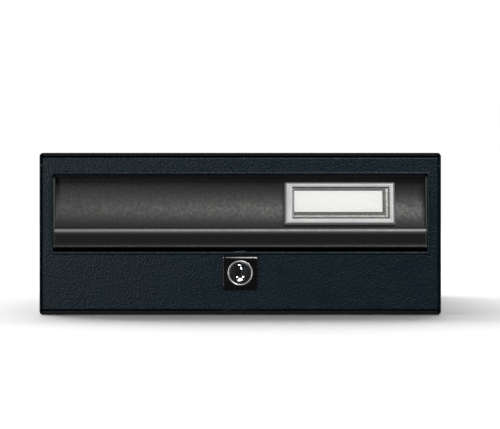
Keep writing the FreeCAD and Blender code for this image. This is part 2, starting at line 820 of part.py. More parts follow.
def make_flap():
    """The extrusion with its two end caps and the rod that it swings on."""
    half = number("flap_half")
    cap = number("end_cap")
    length_half = half - cap
    eye_half = length_half - number("spring_notch")
    profile = flap_slice(-length_half, length_half, -eye_half, eye_half)
    room_radius = number("eye_radius + spring_room")
    for side in (-1, 1):
        start = Vector(side * eye_half, number("pivot_y"), number("pivot_z"))
        notch = cylinder(room_radius, length_half - eye_half + 1, start, X_AXIS * side)
        profile = profile.cut(notch)
    for place in nameplate_screw_places():
        hole = cylinder(number("plate_screw_radius + 0.1"), 12, place - Z_AXIS * 9, Z_AXIS)
        hole.Placement = nameplate_placement().multiply(hole.Placement)
        profile = profile.cut(hole)
    feature("flap_profile", profile)

    cap_right = flap_slice(length_half, half, length_half, half).fuse(cheek(length_half, half))
    ear_low = Vector(half - cap / 2, number("rim_y + door_plate + stop_pad + rest_gap"),
                     number("flap_bottom + ridge_height + ear_rise"))
    ear_high = Vector(number("opening_half + ear_reach"), ear_low.y + number("ear_thickness"),
                      ear_low.z + number("ear_height"))
    cap_right = cap_right.fuse(block(ear_low, ear_high)).removeSplitter()
    feature("flap_end_cap_right", cap_right)
    feature("flap_end_cap_left", mirrored(cap_right))

    rod_half = number("flange_inner - 0.6")
    rod_start = Vector(-rod_half, number("pivot_y"), number("pivot_z"))
    feature("flap_pivot_rod", cylinder(number("rod_radius"), 2 * rod_half, rod_start, X_AXIS))

    pad_front = number("rim_y + door_plate")
    pad = block(Vector(number("opening_half + 1"), pad_front, ear_low.z),
                Vector(number("flange_inner - 1"), pad_front + number("stop_pad"), ear_high.z))
    feature("flap_stop_pads", both_sides(pad))


def spring_shape():
    """A torsion spring round the right end of the rod, with a leg on the flap and a leg up."""
    wire = number("spring_wire")
    coil = number("rod_radius + spring_play") + wire
    turns = number("spring_turns")
    pitch = number("spring_pitch")
    start_x = number("flap_half - end_cap - spring_end_gap") - pitch * turns
    middle = Vector(start_x, number("pivot_y"), number("pivot_z"))
    helix = Part.makeHelix(pitch, pitch * turns, coil)
    helix.rotate(Vector(0, 0, 0), Y_AXIS, 90)
    helix.rotate(Vector(0, 0, 0), X_AXIS, 90)
    helix.translate(middle)
    start = helix.Edges[0].valueAt(helix.Edges[0].FirstParameter)
    tangent = helix.Edges[0].tangentAt(helix.Edges[0].FirstParameter)
    ring = Part.Wire(Part.Circle(start, tangent, wire).toShape())
    coil_shape = Part.Wire(helix.Edges).makePipeShell([ring], True, True)
    end = helix.Edges[-1].valueAt(helix.Edges[-1].LastParameter)
    return coil_shape, start, end


def make_springs():
    """One return spring at each end of the flap."""
    wire = number("spring_wire")
    coil, start, end = spring_shape()
    foot = start.z - number("spring_leg")
    down = Vector(start.x, scoop_point(foot, number("flap_wall")).y + wire + 0.1, foot)
    leg_down = cylinder(wire, (down - start).Length, start, down - start)
    up = Vector(end.x, end.y + 1.0, number("door_top - door_plate - 0.1") - wire)
    leg_up = cylinder(wire, (up - end).Length, end, up - end)
    knots = [Part.makeSphere(wire, point) for point in (start, end)]
    spring = coil.fuse([leg_down, leg_up] + knots).removeSplitter()
    feature("flap_spring_right", spring)
    feature("flap_spring_left", mirrored(spring))


# ---------------------------------------------------------------- nameplate
def nameplate_placement():
    """The nameplate's own frame: u to the right, v up along the plate, n outwards.

    The plate leans back, because its upper and lower edges rest on the scoop.
    """
    middle = number("opening_top - plate_drop")
    reach = number("plate_height / 2")
    upper = scoop_point(middle + reach)
    lower = scoop_point(middle - reach)
    lean = math.degrees(math.atan2(upper.y - lower.y, upper.z - lower.z))
    turn = Rotation(X_AXIS, 90 - lean)
    seat = (upper + lower) * 0.5 + turn.multVec(Z_AXIS) * number("fit_gap")
    seat.x = number("plate_offset")
    return FreeCAD.Placement(seat, turn)


def plate_block(width, height, low, high, shift=(0.0, 0.0)):
    """A block round a point of the nameplate's face, between two levels."""
    across, up = shift
    return block(Vector(across - width / 2, up - height / 2, low),
                 Vector(across + width / 2, up + height / 2, high))


def window_shift():
    """Where the window's middle lies from the frame's; the bars differ in width."""
    return number("window_shift_x"), number("window_shift_up")


def card_shift():
    """Where the card's middle lies from the frame's; the card sits up and to the left."""
    across, up = window_shift()
    return across - number("card_shift_x"), up + number("card_shift_up")


def make_nameplate_frame():
    """The bevelled frame, with a seat behind its lip for the window."""
    rise = number("plate_rise")
    outer = plate_block(number("plate_width"), number("plate_height"), 0, rise)
    front_edges = [edge for edge in outer.Edges if abs(edge.CenterOfMass.z - rise) < 1e-6]
    frame = outer.makeChamfer(number("plate_bevel"), front_edges)
    corners = [edge for edge in frame.Edges if runs_along(edge, Z_AXIS)]
    frame = frame.makeFillet(number("plate_corner"), corners)
    through = plate_block(number("window_width"), number("window_height"), -1, rise + 1,
                          window_shift())
    seat = plate_block(number("window_width + 2 * window_overlap"),
                       number("window_height + 2 * window_overlap"),
                       -1, rise - number("window_lip"), window_shift())
    feature("nameplate_frame", frame.cut([through, seat]), nameplate_placement())


def make_nameplate_inside():
    """The base that fills the gap to the scoop, the card in its pocket, and the window."""
    placement = nameplate_placement()
    width = number("window_width + 2 * (window_overlap - fit_gap)")
    height = number("window_height + 2 * (window_overlap - fit_gap)")
    window_back = number("plate_rise - window_lip - window_thickness")
    window_front = number("plate_rise - window_lip")
    base_front = window_back - number("fit_gap")
    card_front = base_front - number("card_below_window")
    card_back = card_front - number("card_thickness")

    radius, middle = scoop_circle()
    drum = cylinder(radius - number("fit_gap"), 2 * width, middle, X_AXIS)
    drum.Placement = placement.inverse().multiply(drum.Placement)
    base = plate_block(width, height, -number("scoop_depth"), base_front, window_shift())
    room = number("card_room")
    pocket = plate_block(number("card_width") + 2 * room, number("card_height") + 2 * room,
                         card_back, window_front, card_shift())
    threads = [cylinder(number("plate_screw_radius"), number("plate_rise") + number("scoop_depth"),
                        place - Z_AXIS * number("scoop_depth"), Z_AXIS)
               for place in nameplate_screw_places()]
    feature("nameplate_base", base.common(drum).cut([pocket] + threads), placement)

    card = plate_block(number("card_width"), number("card_height"), card_back, card_front,
                       card_shift())
    feature("name_card", card, placement)
    window = plate_block(width, height, window_back, window_front, window_shift())
    feature("nameplate_window", window, placement)


def make_nameplate_screws():
    """Two slotted screws that hold the nameplate from behind the flap's wall."""
    placement = nameplate_placement()
    head_radius = number("plate_screw_head")
    head_height = number("plate_screw_head_height")
    screws = []
    for place in nameplate_screw_places():
        seat = place + Z_AXIS * back_of_wall_level(placement, place)
        shank = cylinder(number("plate_screw_radius"),
                         number("plate_screw_bite") - seat.z, seat, Z_AXIS)
        head = cylinder(head_radius, head_height, seat - Z_AXIS * head_height, Z_AXIS)
        slot = block(seat - Vector(head_radius + 1, head_height / 5, head_height + 1),
                     seat + Vector(head_radius + 1, head_height / 5, -head_height / 2))
        screws.append(shank.fuse(head).removeSplitter().cut(slot))
    feature("nameplate_screws", Part.makeCompound(screws), placement)


def back_of_wall_level(placement, place):
    """How far behind a point of the nameplate the flap's wall ends, as a negative level."""
    radius, middle = scoop_circle()
    outwards = placement.Rotation.multVec(Z_AXIS)
    offset = placement.multVec(place) - middle
    offset.x = 0
    along = offset.dot(outwards)
    beyond = (radius + number("flap_wall")) ** 2 - offset.dot(offset)
    return -along - math.sqrt(along * along + beyond)


# ---------------------------------------------------------------- lock
def make_escutcheon():
    """The square plate round the lock, with a seat for the lock's ring."""
    body = body_for("lock_escutcheon")
    face = sketch_on(body, "escutcheon_face", "XZ_Plane", "-rim_y")
    half = "escutcheon_side / 2"
    middle = "lock_height + escutcheon_rise"
    rectangle(face, f"-{half}", f"{middle} - {half}", half, f"{middle} + {half}")
    grow(body, face, "escutcheon_thickness")
    front = number("rim_y - escutcheon_thickness")
    round_edges(body, "escutcheon_corner", lambda edge: runs_along(edge, Y_AXIS))
    round_edges(body, "escutcheon_soft",
                lambda edge: abs(edge.CenterOfMass.y - front) < 1e-3)
    seat = sketch_on(body, "escutcheon_seat", "XZ_Plane", "-(rim_y - escutcheon_thickness)")
    circle(seat, "0", "lock_height", "lock_ring_radius + running_gap")
    carve(body, seat, "escutcheon_thickness / 2")
    bore = sketch_on(body, "escutcheon_bore", "XZ_Plane", "-(rim_y - escutcheon_thickness)")
    circle(bore, "0", "lock_height", "lock_body_radius + running_gap")
    carve(body, bore, "escutcheon_thickness")


def lathe(steps, bore_steps=()):
    """A turned piece on the lock's axis; each step is a radius and two distances inwards."""
    place = Vector(0, number("rim_y"), number("lock_height"))

    def disc(radius, start, end):
        return cylinder(radius, end - start, place + Y_AXIS * start, Y_AXIS)

    discs = [disc(*step) for step in steps]
    bores = [disc(*step) for step in bore_steps]
    shape = discs[0].fuse(discs[1:])
    if bores:
        shape = shape.cut(bores)
    return shape.removeSplitter()


def make_barrel():
    """The lock's barrel: a ring in front, a body through the door and the plug's bore."""
    seat = number("escutcheon_thickness / 2")
    proud = number("front_proud")
    length = number("lock_length")
    barrel = lathe([(number("lock_ring_radius"), -proud, -seat),
                    (number("lock_body_radius"), -seat, length)],
                   [(number("lock_face_radius"), -proud, -number("lock_face_depth") / 2),
                    (number("plug_radius + running_gap"), -number("lock_face_depth"), length)])
    front_edges = [edge for edge in barrel.Edges
                   if near(edge.CenterOfMass.y, "rim_y - front_proud")]
    feature("lock_barrel", barrel.makeFillet(number("lock_ring_round"), front_edges))


def make_nut():
    """A thin hexagon nut that clamps the barrel and its plate to the door."""
    body = body_for("lock_nut")
    plan = sketch_on(body, "nut_plan", "XZ_Plane", "-(rim_y + door_plate)")
    corner = f"nut_flats / {math.sqrt(3)}"
    corners = []
    for turn in range(0, 360, 60):
        across = math.cos(math.radians(turn))
        up = math.sin(math.radians(turn))
        corners.append((f"{corner} * ({across:.9f})", f"lock_height + {corner} * ({up:.9f})"))
    outline(plan, corners)
    circle(plan, "0", "lock_height", "lock_body_radius + running_gap")
    grow(body, plan, "nut_thickness", backwards=True)


def lock_block(half_width, back, front, low, high):
    """A block across the lock's axis, with distances measured from the axis and the rim."""
    rim, height = number("rim_y"), number("lock_height")
    return block(Vector(-half_width, rim + front, height + low),
                 Vector(half_width, rim + back, height + high))


def make_plug():
    """The plug that the key turns: keyed face, slots for the wafers and a square shank."""
    length = number("lock_length")
    shoulder = length + number("cam_gap")
    shank_end = shoulder + number("cam_thickness + cam_play")
    gap = number("running_gap")
    face_back = -number("lock_face_depth") / 2 - gap
    plug = lathe([(number("lock_face_radius") - gap,
                   number("lock_face_depth - front_proud"), face_back),
                  (number("plug_radius"), face_back, shoulder)])
    half_shank = number("shank_side / 2")
    shank = lock_block(half_shank, shank_end, length, -half_shank, half_shank)
    plug = plug.fuse(shank).removeSplitter()

    half_key = number("keyway_width / 2")
    tall = number("keyway_height / 2")
    depth = number("keyway_depth")
    front = -number("front_proud") - 1
    keyway = lock_block(half_key, depth, front, -tall, tall)
    ward_low = number("ward_rise")
    ward = lock_block(number("ward_width / 2"), depth, front, ward_low,
                      ward_low + number("ward_height"))
    ward.translate(-X_AXIS * half_key)
    thread_start = Vector(0, number("rim_y") + shank_end - number("cam_screw_length"),
                          number("lock_height"))
    thread = cylinder(number("cam_screw_radius"), 2 * number("cam_screw_length"), thread_start,
                      Y_AXIS)
    half_wafer = number("wafer_width / 2") + 2 * gap
    slots = [lock_block(half_wafer, back, start, -number("plug_radius") - 1,
                        number("plug_radius") + 1)
             for start, back in wafer_spans(gap)]
    feature("lock_plug", plug.cut([keyway, ward, thread] + slots))


def wafer_spans(room=0.0):
    """Where each wafer starts and ends behind the rim, with some room on both sides."""
    for step in range(WAFERS):
        start = number("wafer_first") + step * number("wafer_pitch")
        yield start - room, start + number("wafer_thickness") + room


def make_wafers():
    """Thin plates in the plug, each with a window that the key passes through."""
    half_width = number("wafer_width / 2")
    half_height = number("wafer_height / 2")
    frame = half_width / 3
    plates = []
    for step, (start, back) in enumerate(wafer_spans()):
        plate = lock_block(half_width, back, start, -half_height, half_height)
        rise = frame / 3 * (step % 3)
        window = lock_block(half_width - frame, back + 1, start - 1,
                            2 * frame - half_height + rise, half_height - 2 * frame + rise)
        plates.append(plate.cut(window))
    feature("lock_wafers", Part.makeCompound(plates))


def make_cam():
    """The cam on the plug's square shank; its finger points up while the lock is open."""
    start = number("cam_front - rim_y")
    back = start + number("cam_thickness")
    place = Vector(0, number("cam_front"), number("lock_height"))
    hub = cylinder(number("cam_hub_radius"), number("cam_thickness"), place, Y_AXIS)
    finger = lock_block(number("cam_width / 2"), back, start, 0, number("cam_reach"))
    tip = number("lock_height + cam_reach")
    tip_edges = [edge for edge in finger.Edges
                 if runs_along(edge, Y_AXIS) and abs(edge.CenterOfMass.z - tip) < 1e-6]
    finger = finger.makeFillet(number("cam_width / 4"), tip_edges)
    half = number("shank_side / 2 + running_gap")
    hole = lock_block(half, back + 1, start - 1, -half, half)
    feature("lock_cam", hub.fuse(finger).removeSplitter().cut(hole))


def make_cam_fixings():
    """The washer and the cross-slotted screw that keep the cam on its shank."""
    seat = "cam_front + cam_thickness + cam_play"
    washer = body_for("cam_washer")
    plan = sketch_on(washer, "washer_plan", "XZ_Plane", f"-({seat})")
    circle(plan, "0", "lock_height", "washer_radius")
    circle(plan, "0", "lock_height", "cam_screw_radius + running_gap")
    grow(washer, plan, "washer_thickness", backwards=True)

    under_head = Vector(0, number(f"{seat} + washer_thickness"), number("lock_height"))
    length = number("cam_screw_length")
    head_radius = number("cam_screw_head_radius")
    head = number("cam_screw_head")
    screw = cylinder(head_radius, head, under_head, Y_AXIS)
    thread = cylinder(number("cam_screw_radius"), length, under_head - Y_AXIS * length, Y_AXIS)
    screw = screw.fuse(thread).removeSplitter()
    arm, half = head_radius * 0.65, head_radius * 0.12
    slots = [block(under_head + Vector(-x, head * 0.6, -z), under_head + Vector(x, head + 1, z))
             for x, z in ((arm, half), (half, arm))]
    feature("cam_screw", screw.cut(slots))


def main():
    make_casing()
    make_seam_strip()
    make_rails()
    make_rear_panel()
    make_keeper()
    make_door_stops()
    make_door_panel()
    make_pivot_blocks()
    make_hinge_pins()
    make_block_rivets()
    make_flap()
    make_springs()
    make_nameplate_frame()
    make_nameplate_inside()
    make_nameplate_screws()
    make_escutcheon()
    make_barrel()
    make_nut()
    make_plug()
    make_wafers()
    make_cam()
    make_cam_fixings()
    doc.recompute()
    for thing in doc.Objects:
        if "Invalid" in thing.State or "Error" in thing.State:
            raise ValueError(f"{thing.Label} failed: {thing.State}")
    os.makedirs("parts", exist_ok=True)
    for thing in NODES:
        if thing.Shape.isNull() or not thing.Shape.isValid():
            raise ValueError(f"{thing.Label} has no valid shape")
        thing.Shape.exportStep(f"parts/{thing.Label}.step")
        print(thing.Label, len(thing.Shape.Solids), round(thing.Shape.Volume, 1))


main()
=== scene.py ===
"""One wall module of a cluster mailbox unit, dressed on its CAD frame.

The cabinet is a folded steel case. Its door hangs from the top and carries a spring flap
with a nameplate, and a cam lock below. Every length here is in metres.
"""

import json
import logging
import math
from dataclasses import dataclass, field
from enum import Enum
from typing import Any, Iterable, NamedTuple, Sequence

import bmesh
import bpy
from mathutils import Matrix, Vector

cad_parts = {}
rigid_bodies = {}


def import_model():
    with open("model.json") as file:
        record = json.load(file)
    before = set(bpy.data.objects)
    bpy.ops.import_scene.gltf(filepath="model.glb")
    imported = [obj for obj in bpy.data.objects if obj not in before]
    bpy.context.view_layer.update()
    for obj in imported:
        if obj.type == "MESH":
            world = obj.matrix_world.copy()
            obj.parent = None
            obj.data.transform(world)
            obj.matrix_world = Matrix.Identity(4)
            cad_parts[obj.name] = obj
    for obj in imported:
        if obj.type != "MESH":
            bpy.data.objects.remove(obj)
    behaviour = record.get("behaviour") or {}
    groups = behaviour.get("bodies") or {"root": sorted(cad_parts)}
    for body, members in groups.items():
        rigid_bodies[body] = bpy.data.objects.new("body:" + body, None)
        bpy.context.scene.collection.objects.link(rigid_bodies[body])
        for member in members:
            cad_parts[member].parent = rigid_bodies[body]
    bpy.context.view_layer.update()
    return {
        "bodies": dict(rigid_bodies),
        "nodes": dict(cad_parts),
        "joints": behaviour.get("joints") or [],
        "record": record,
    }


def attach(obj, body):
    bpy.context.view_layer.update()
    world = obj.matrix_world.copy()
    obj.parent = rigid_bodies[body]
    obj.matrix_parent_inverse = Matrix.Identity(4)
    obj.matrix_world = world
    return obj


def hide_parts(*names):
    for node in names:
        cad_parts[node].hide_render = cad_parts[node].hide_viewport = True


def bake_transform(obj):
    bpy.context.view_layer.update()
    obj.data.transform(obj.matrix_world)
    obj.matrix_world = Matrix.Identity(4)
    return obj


LOG = logging.getLogger("mailbox")
MM = 0.001


# ------------------------------------------------------------------ node helpers
def linear(colour: str) -> tuple[float, float, float, float]:
    """Turn an sRGB hex colour into linear RGBA.

    Args:
        colour: Six hex digits, with or without a leading hash.

    Returns:
        Linear red, green, blue and an alpha of one.
    """
    digits = colour.lstrip("#")
    channels = [int(digits[i:i + 2], 16) / 255 for i in (0, 2, 4)]
    red, green, blue = (c / 12.92 if c <= 0.04045 else ((c + 0.055) / 1.055) ** 2.4
                        for c in channels)
    return red, green, blue, 1.0


def add(tree: bpy.types.NodeTree, kind: str, inputs: dict[Any, Any] | None = None,
        **settings: Any) -> bpy.types.Node:
    """Add one node with its settings, constants and links.

    Args:
        tree: The shader or geometry tree.
        kind: The node's type name.
        inputs: Socket name or index to a constant, to a socket, or to a node whose first
            live output feeds it. A list feeds one socket several times.
        settings: Attributes to set before the sockets are used.

    Returns:
        The new node.
    """
    made = tree.nodes.new(kind)
    for name, value in settings.items():
        setattr(made, name, value)
    for key, value in (inputs or {}).items():
        for one in value if isinstance(value, list) else [value]:
            if isinstance(one, bpy.types.Node):
                one = next(output for output in one.outputs if output.enabled)
            if isinstance(one, bpy.types.NodeSocket):
                tree.links.new(one, made.inputs[key])
            else:
                made.inputs[key].default_value = one
    return made


def blank(name: str) -> bpy.types.Material:
    """Make a material whose node tree is empty.

    Args:
        name: The material's name.

    Returns:
        The new material.
    """
    material = bpy.data.materials.new(name)
    material.use_nodes = True
    material.node_tree.nodes.clear()
    return material


# ------------------------------------------------------------------ finishes
class Grain(Enum):
    """How a finish's surface is broken up."""

    POWDER = "powder"
    BRUSHED = "brushed"
    MOULDED = "moulded"
    PLATED = "plated"
    FIBRE = "fibre"


@dataclass(frozen=True)
class Finish:
    """One opaque finish, with grain, patches, roughness and softened edges that are painted
    lighter, partly as wear and partly as painted highlight.

    Attributes:
        name: The material's common name and how it was made.
        colour: Its sRGB hex colour.
        shade: The hex colour that its patches drift to.
        worn_and_lit: The hex colour that shows along its edges, partly as wear and partly
            as painted highlight, and on any band painted as a highlight.
        metallic: 0 for coats and plastics, 1 for bare or plated metal.
        roughness: Its roughness between patches.
        swing: How far roughness moves from place to place.
        grain: What breaks the surface up.
        grain_mm: Distance between neighbouring grains.
        relief_mm: Height of the grain.
        patch_mm: Size of the slow drift in colour and gloss.
        edge_wear_and_highlight: How strongly the lighter edges show, partly wear and partly
            painted highlight, from 0 to 1.
        edge_mm: Radius that sharp edges are softened to.
        coat: Weight of a clear coat.
        specular: Specular level, 0.5 for most coats and plastics.
        painted_highlight_z_mm: Lowest and highest height of a band on the ridge that is
            painted lighter as a highlight, if any.
    """

    name: str
    colour: str
    shade: str
    worn_and_lit: str
    metallic: float
    roughness: float
    swing: float
    grain: Grain
    grain_mm: float
    relief_mm: float
    patch_mm: float = 18.0
    edge_wear_and_highlight: float = 0.3
    edge_mm: float = 0.3
    coat: float = 0.0
    specular: float = 0.5
    painted_highlight_z_mm: tuple[float, float] | None = None

    def painted_ridge_highlight(self, tree: bpy.types.NodeTree, place: bpy.types.NodeSocket,
                body: bpy.types.Node) -> bpy.types.Node:
        """Paint a highlight on the ridge's band: full in its middle, gone past its edges.

        Args:
            tree: The material's node tree.
            place: The object coordinates.
            body: The colour elsewhere.

        Returns:
            The colour with the painted highlight in it.
        """
        low, high = (height * MM for height in self.painted_highlight_z_mm)
        middle, half = (low + high) / 2, (high - low) / 2
        height = add(tree, "ShaderNodeSeparateXYZ", {0: place}).outputs["Z"]
        away = add(tree, "ShaderNodeMath", {0: height, 1: middle}, operation="SUBTRACT")
        size = add(tree, "ShaderNodeMath", {0: away}, operation="ABSOLUTE")
        share = add(tree, "ShaderNodeMapRange",
                    {"Value": size, "From Min": half * 0.5, "From Max": half * 1.1,
                     "To Min": 1.0, "To Max": 0.0}, interpolation_type="SMOOTHSTEP")
        return add(tree, "ShaderNodeMix", {0: share, 6: body, 7: linear(self.worn_and_lit)},
                   data_type="RGBA")

    def pattern(self, tree: bpy.types.NodeTree,
                place: bpy.types.NodeSocket) -> bpy.types.Node:
        """Build the height pattern of the surface.

        Args:
            tree: The material's node tree.
            place: The object coordinates.

        Returns:
            A node whose value is about 0.5 on average.
        """
        scale = 1 / (self.grain_mm * MM)
        if self.grain is Grain.BRUSHED:
            drawn = add(tree, "ShaderNodeMapping",
                        {"Vector": place, "Scale": (0.012, 1, 1)})
            return add(tree, "ShaderNodeTexNoise", {"Vector": drawn, "Scale": scale,
                                                    "Detail": 2.0, "Roughness": 0.6})
        if self.grain is Grain.POWDER:
            cells = add(tree, "ShaderNodeTexVoronoi",
                        {"Vector": place, "Scale": scale, "Smoothness": 1.0,
                         "Randomness": 1.0}, feature="SMOOTH_F1")
            fine = add(tree, "ShaderNodeTexNoise",
                       {"Vector": place, "Scale": scale * 0.8, "Detail": 3.0})
            return add(tree, "ShaderNodeMix", {0: 0.45, 2: cells, 3: fine})
        detail = {Grain.MOULDED: 3.0, Grain.PLATED: 1.0, Grain.FIBRE: 6.0}[self.grain]
        return add(tree, "ShaderNodeTexNoise",
                   {"Vector": place, "Scale": scale, "Detail": detail})

    def edge(self, tree: bpy.types.NodeTree, soft: bpy.types.Node) -> bpy.types.Node:
        """Find the edges, where the softened normal leaves the face's own.

        Args:
            tree: The material's node tree.
            soft: The softened normal.

        Returns:
            A node whose value is the wear and painted highlight along edges, and nothing on
            open faces.
        """
        facet = add(tree, "ShaderNodeNewGeometry").outputs["Normal"]
        turned = add(tree, "ShaderNodeVectorMath", {0: soft, 1: facet},
                     operation="DOT_PRODUCT")
        return add(tree, "ShaderNodeMapRange", {"Value": turned, "From Min": 0.98,
                                                "From Max": 0.85, "To Max": self.edge_wear_and_highlight})

    def build(self) -> bpy.types.Material:
        """Build the material.

        Returns:
            The new material, with its whole node tree.
        """
        material = blank(self.name)
        tree = material.node_tree
        place = add(tree, "ShaderNodeTexCoord").outputs["Object"]
        height = self.pattern(tree, place)
        patch = add(tree, "ShaderNodeTexNoise",
                    {"Vector": place, "Scale": 1 / (self.patch_mm * MM), "Detail": 4.0,
                     "Roughness": 0.65})
        speck = add(tree, "ShaderNodeMix", {0: 0.35, 2: patch, 3: height})
        drift = add(tree, "ShaderNodeMapRange",
                    {"Value": speck, "From Min": 0.3, "From Max": 0.7})
        body = add(tree, "ShaderNodeMix",
                   {0: drift, 6: linear(self.colour), 7: linear(self.shade)},
                   data_type="RGBA")
        # A band on the ridge is painted lighter: a painted highlight.
        if self.painted_highlight_z_mm:
            body = self.painted_ridge_highlight(tree, place, body)
        soft = add(tree, "ShaderNodeBevel", {"Radius": self.edge_mm * MM}, samples=6)
        # Edges are painted lighter: partly wear, partly painted highlight.
        edges_worn_and_lit = add(tree, "ShaderNodeMath", {0: self.edge(tree, soft), 1: patch},
                     operation="MULTIPLY", use_clamp=True)
        colour = add(tree, "ShaderNodeMix", {0: edges_worn_and_lit, 6: body, 7: linear(self.worn_and_lit)},
                     data_type="RGBA")
        rough = add(tree, "ShaderNodeMapRange",
                    {"Value": speck, "From Min": 0.3, "From Max": 0.7,
                     "To Min": self.roughness - self.swing,
                     "To Max": self.roughness + self.swing})
        bump = add(tree, "ShaderNodeBump",
                   {"Height": height, "Normal": soft, "Strength": 1.0,
                    "Distance": self.relief_mm * MM})
        shader = add(tree, "ShaderNodeBsdfPrincipled",
                     {"Base Color": colour, "Roughness": rough, "Normal": bump,
                      "Metallic": self.metallic, "Coat Weight": self.coat,
                      "Coat Roughness": 0.06, "Specular IOR Level": self.specular})
        add(tree, "ShaderNodeOutputMaterial", {"Surface": shader})
        return material


@dataclass(frozen=True)
class ClearSheet:
    """A thin clear sheet: seen through, with a faint reflection.

    Attributes:
        name: The material's common name and how it was made.
        colour: Hex tint of what is seen through it.
        roughness: Roughness of the reflection.
        haze_mm: Size of the patches in its haze.
        ior: Refractive index that sets how much it reflects.
    """

    name: str
    colour: str
    roughness: float
    haze_mm: float = 9.0
    ior: float = 1.18

    def build(self) -> bpy.types.Material:
        """Build the material.

        Returns:
            The new material, mostly transparent.
        """
        material = blank(self.name)
        tree = material.node_tree
        place = add(tree, "ShaderNodeTexCoord").outputs["Object"]
        haze = add(tree, "ShaderNodeTexNoise",
                   {"Vector": place, "Scale": 1 / (self.haze_mm * MM), "Detail": 3.0})
        rough = add(tree, "ShaderNodeMapRange",
                    {"Value": haze, "To Min": self.roughness * 0.6,
                     "To Max": self.roughness * 1.4})
        seen = add(tree, "ShaderNodeBsdfTransparent", {"Color": linear(self.colour)})
        gloss = add(tree, "ShaderNodeBsdfPrincipled",
                    {"Base Color": linear("#f4f4f4"), "Metallic": 1.0, "Roughness": rough})
        share = add(tree, "ShaderNodeFresnel", {"IOR": self.ior})
        mixed = add(tree, "ShaderNodeMixShader", {0: share, 1: seen, 2: gloss})
        add(tree, "ShaderNodeOutputMaterial", {"Surface": mixed})
        return material


# Textured polyester powder coat, baked on steel. The droplets leave a fine leathery grain,
# so the sheen is broad and a little grainy. Real grain is about 0.5 mm; it is drawn at
# 1.1 mm so that it shows.
CASE_COAT = Finish("powder_coated_steel_case", "#05090b", "#070b0e", "#14181a", 0.0, 0.42,
                   0.06, Grain.POWDER, 1.1, 0.12, edge_wear_and_highlight=0.1, edge_mm=0.4, specular=0.15)
DOOR_COAT = Finish("powder_coated_steel_door", "#03161e", "#051a22", "#30383c", 0.0, 0.36,
                   0.06, Grain.POWDER, 1.2, 0.4, edge_wear_and_highlight=0.2, edge_mm=0.4, specular=0.2)
# Extruded aluminium, etched and anodised. The etch leaves a fine cloudy bloom and the oxide
# takes the shine down, so the eye gets a soft grey gleam that follows the scoop. A band
# along
# the ridge is painted lighter: a painted highlight.
FLAP_ANODISED = Finish("anodised_extruded_aluminium", "#474746", "#353635", "#6c6d6c", 1.0,
                       0.5, 0.06, Grain.POWDER, 1.0, 0.04, patch_mm=2.4, edge_wear_and_highlight=0.5,
                       edge_mm=0.3, painted_highlight_z_mm=(54.0, 58.4))
# Trim rolled in thin aluminium and satin anodised: pale and even, with a brighter edge that
# is partly wear where it is handled and partly painted highlight.
SILVER_TRIM = Finish("satin_anodised_trim", "#a2a2a2", "#9a9a9a", "#bcbcbc", 0.6, 0.52,
                     0.04, Grain.MOULDED, 0.5, 0.008, edge_wear_and_highlight=0.5, edge_mm=0.35)
# Styrene moulded against an etched tool: dark and half dull, with a faint cloudy skin.
PLATE_BASE = Finish("moulded_black_styrene", "#1b1c1d", "#141516", "#2b2c2d", 0.0, 0.5,
                    0.06, Grain.MOULDED, 0.7, 0.01, edge_wear_and_highlight=0.2, edge_mm=0.2)
# Uncoated card, pressed from pulp and cut: white and dull, with a faint fibre.
CARD = Finish("uncoated_white_card", "#f6f2f0", "#f2eeec", "#ffffff", 0.0, 0.9, 0.04,
              Grain.FIBRE, 0.6, 0.01, patch_mm=7.0, edge_wear_and_highlight=0.1, edge_mm=0.1, specular=0.3)
# Glass-filled nylon, moulded: the fibres grey its skin, and it has a soft sheen.
CAP_PLASTIC = Finish("moulded_grey_nylon", "#33393b", "#2d3234", "#6a6d6f", 0.0, 0.42,
                     0.06, Grain.MOULDED, 0.6, 0.012, edge_wear_and_highlight=0.4, edge_mm=0.25)
# Acetal, moulded: black and waxy, so its highlights are broad.
BLACK_PLASTIC = Finish("moulded_black_acetal", "#121314", "#0d0e0f", "#2a2b2c", 0.0, 0.4,
                       0.06, Grain.MOULDED, 0.6, 0.012, edge_wear_and_highlight=0.3, edge_mm=0.3)
# Stoved gloss enamel on the lock's square plate: black, with one sharp highlight.
GLOSS_BLACK = Finish("gloss_stoved_black_enamel", "#010102", "#020203", "#101112", 0.0,
                     0.16, 0.03, Grain.MOULDED, 1.6, 0.004, edge_wear_and_highlight=0.2, edge_mm=0.35,
                     coat=0.3)
# Zinc die casting, polished and chrome plated: it mirrors softly, white against dark.
CHROME = Finish("chrome_plated_zinc_casting", "#d9dadb", "#cfd0d1", "#ffffff", 1.0, 0.32,
                0.04, Grain.PLATED, 1.2, 0.0008, edge_wear_and_highlight=0.2, edge_mm=0.15)
# The plug's face is left as cast and nickel plated, darker and duller than the ring.
PLUG_METAL = Finish("nickel_plated_plug_casting", "#5b5e61", "#43464a", "#c4c6c8", 1.0,
                    0.22, 0.06, Grain.MOULDED, 0.5, 0.012, patch_mm=4.0, edge_wear_and_highlight=0.7,
                    edge_mm=0.2)
# Brass strip, rolled and stamped: rolling lines, and a warm glint on its cut edges that is
# partly painted highlight.
BRASS = Finish("stamped_brass", "#b08d45", "#9c7a38", "#dcc07a", 1.0, 0.3, 0.08,
               Grain.BRUSHED, 0.3, 0.006, edge_wear_and_highlight=0.4, edge_mm=0.1)
# Zinc plate with a clear passivate: pale grey, faintly blue, with soft cloudy patches.
ZINC = Finish("zinc_plated_steel", "#a9adb0", "#8f9599", "#d8dadb", 1.0, 0.36, 0.1,
              Grain.PLATED, 0.8, 0.008, patch_mm=6.0, edge_wear_and_highlight=0.4, edge_mm=0.25)
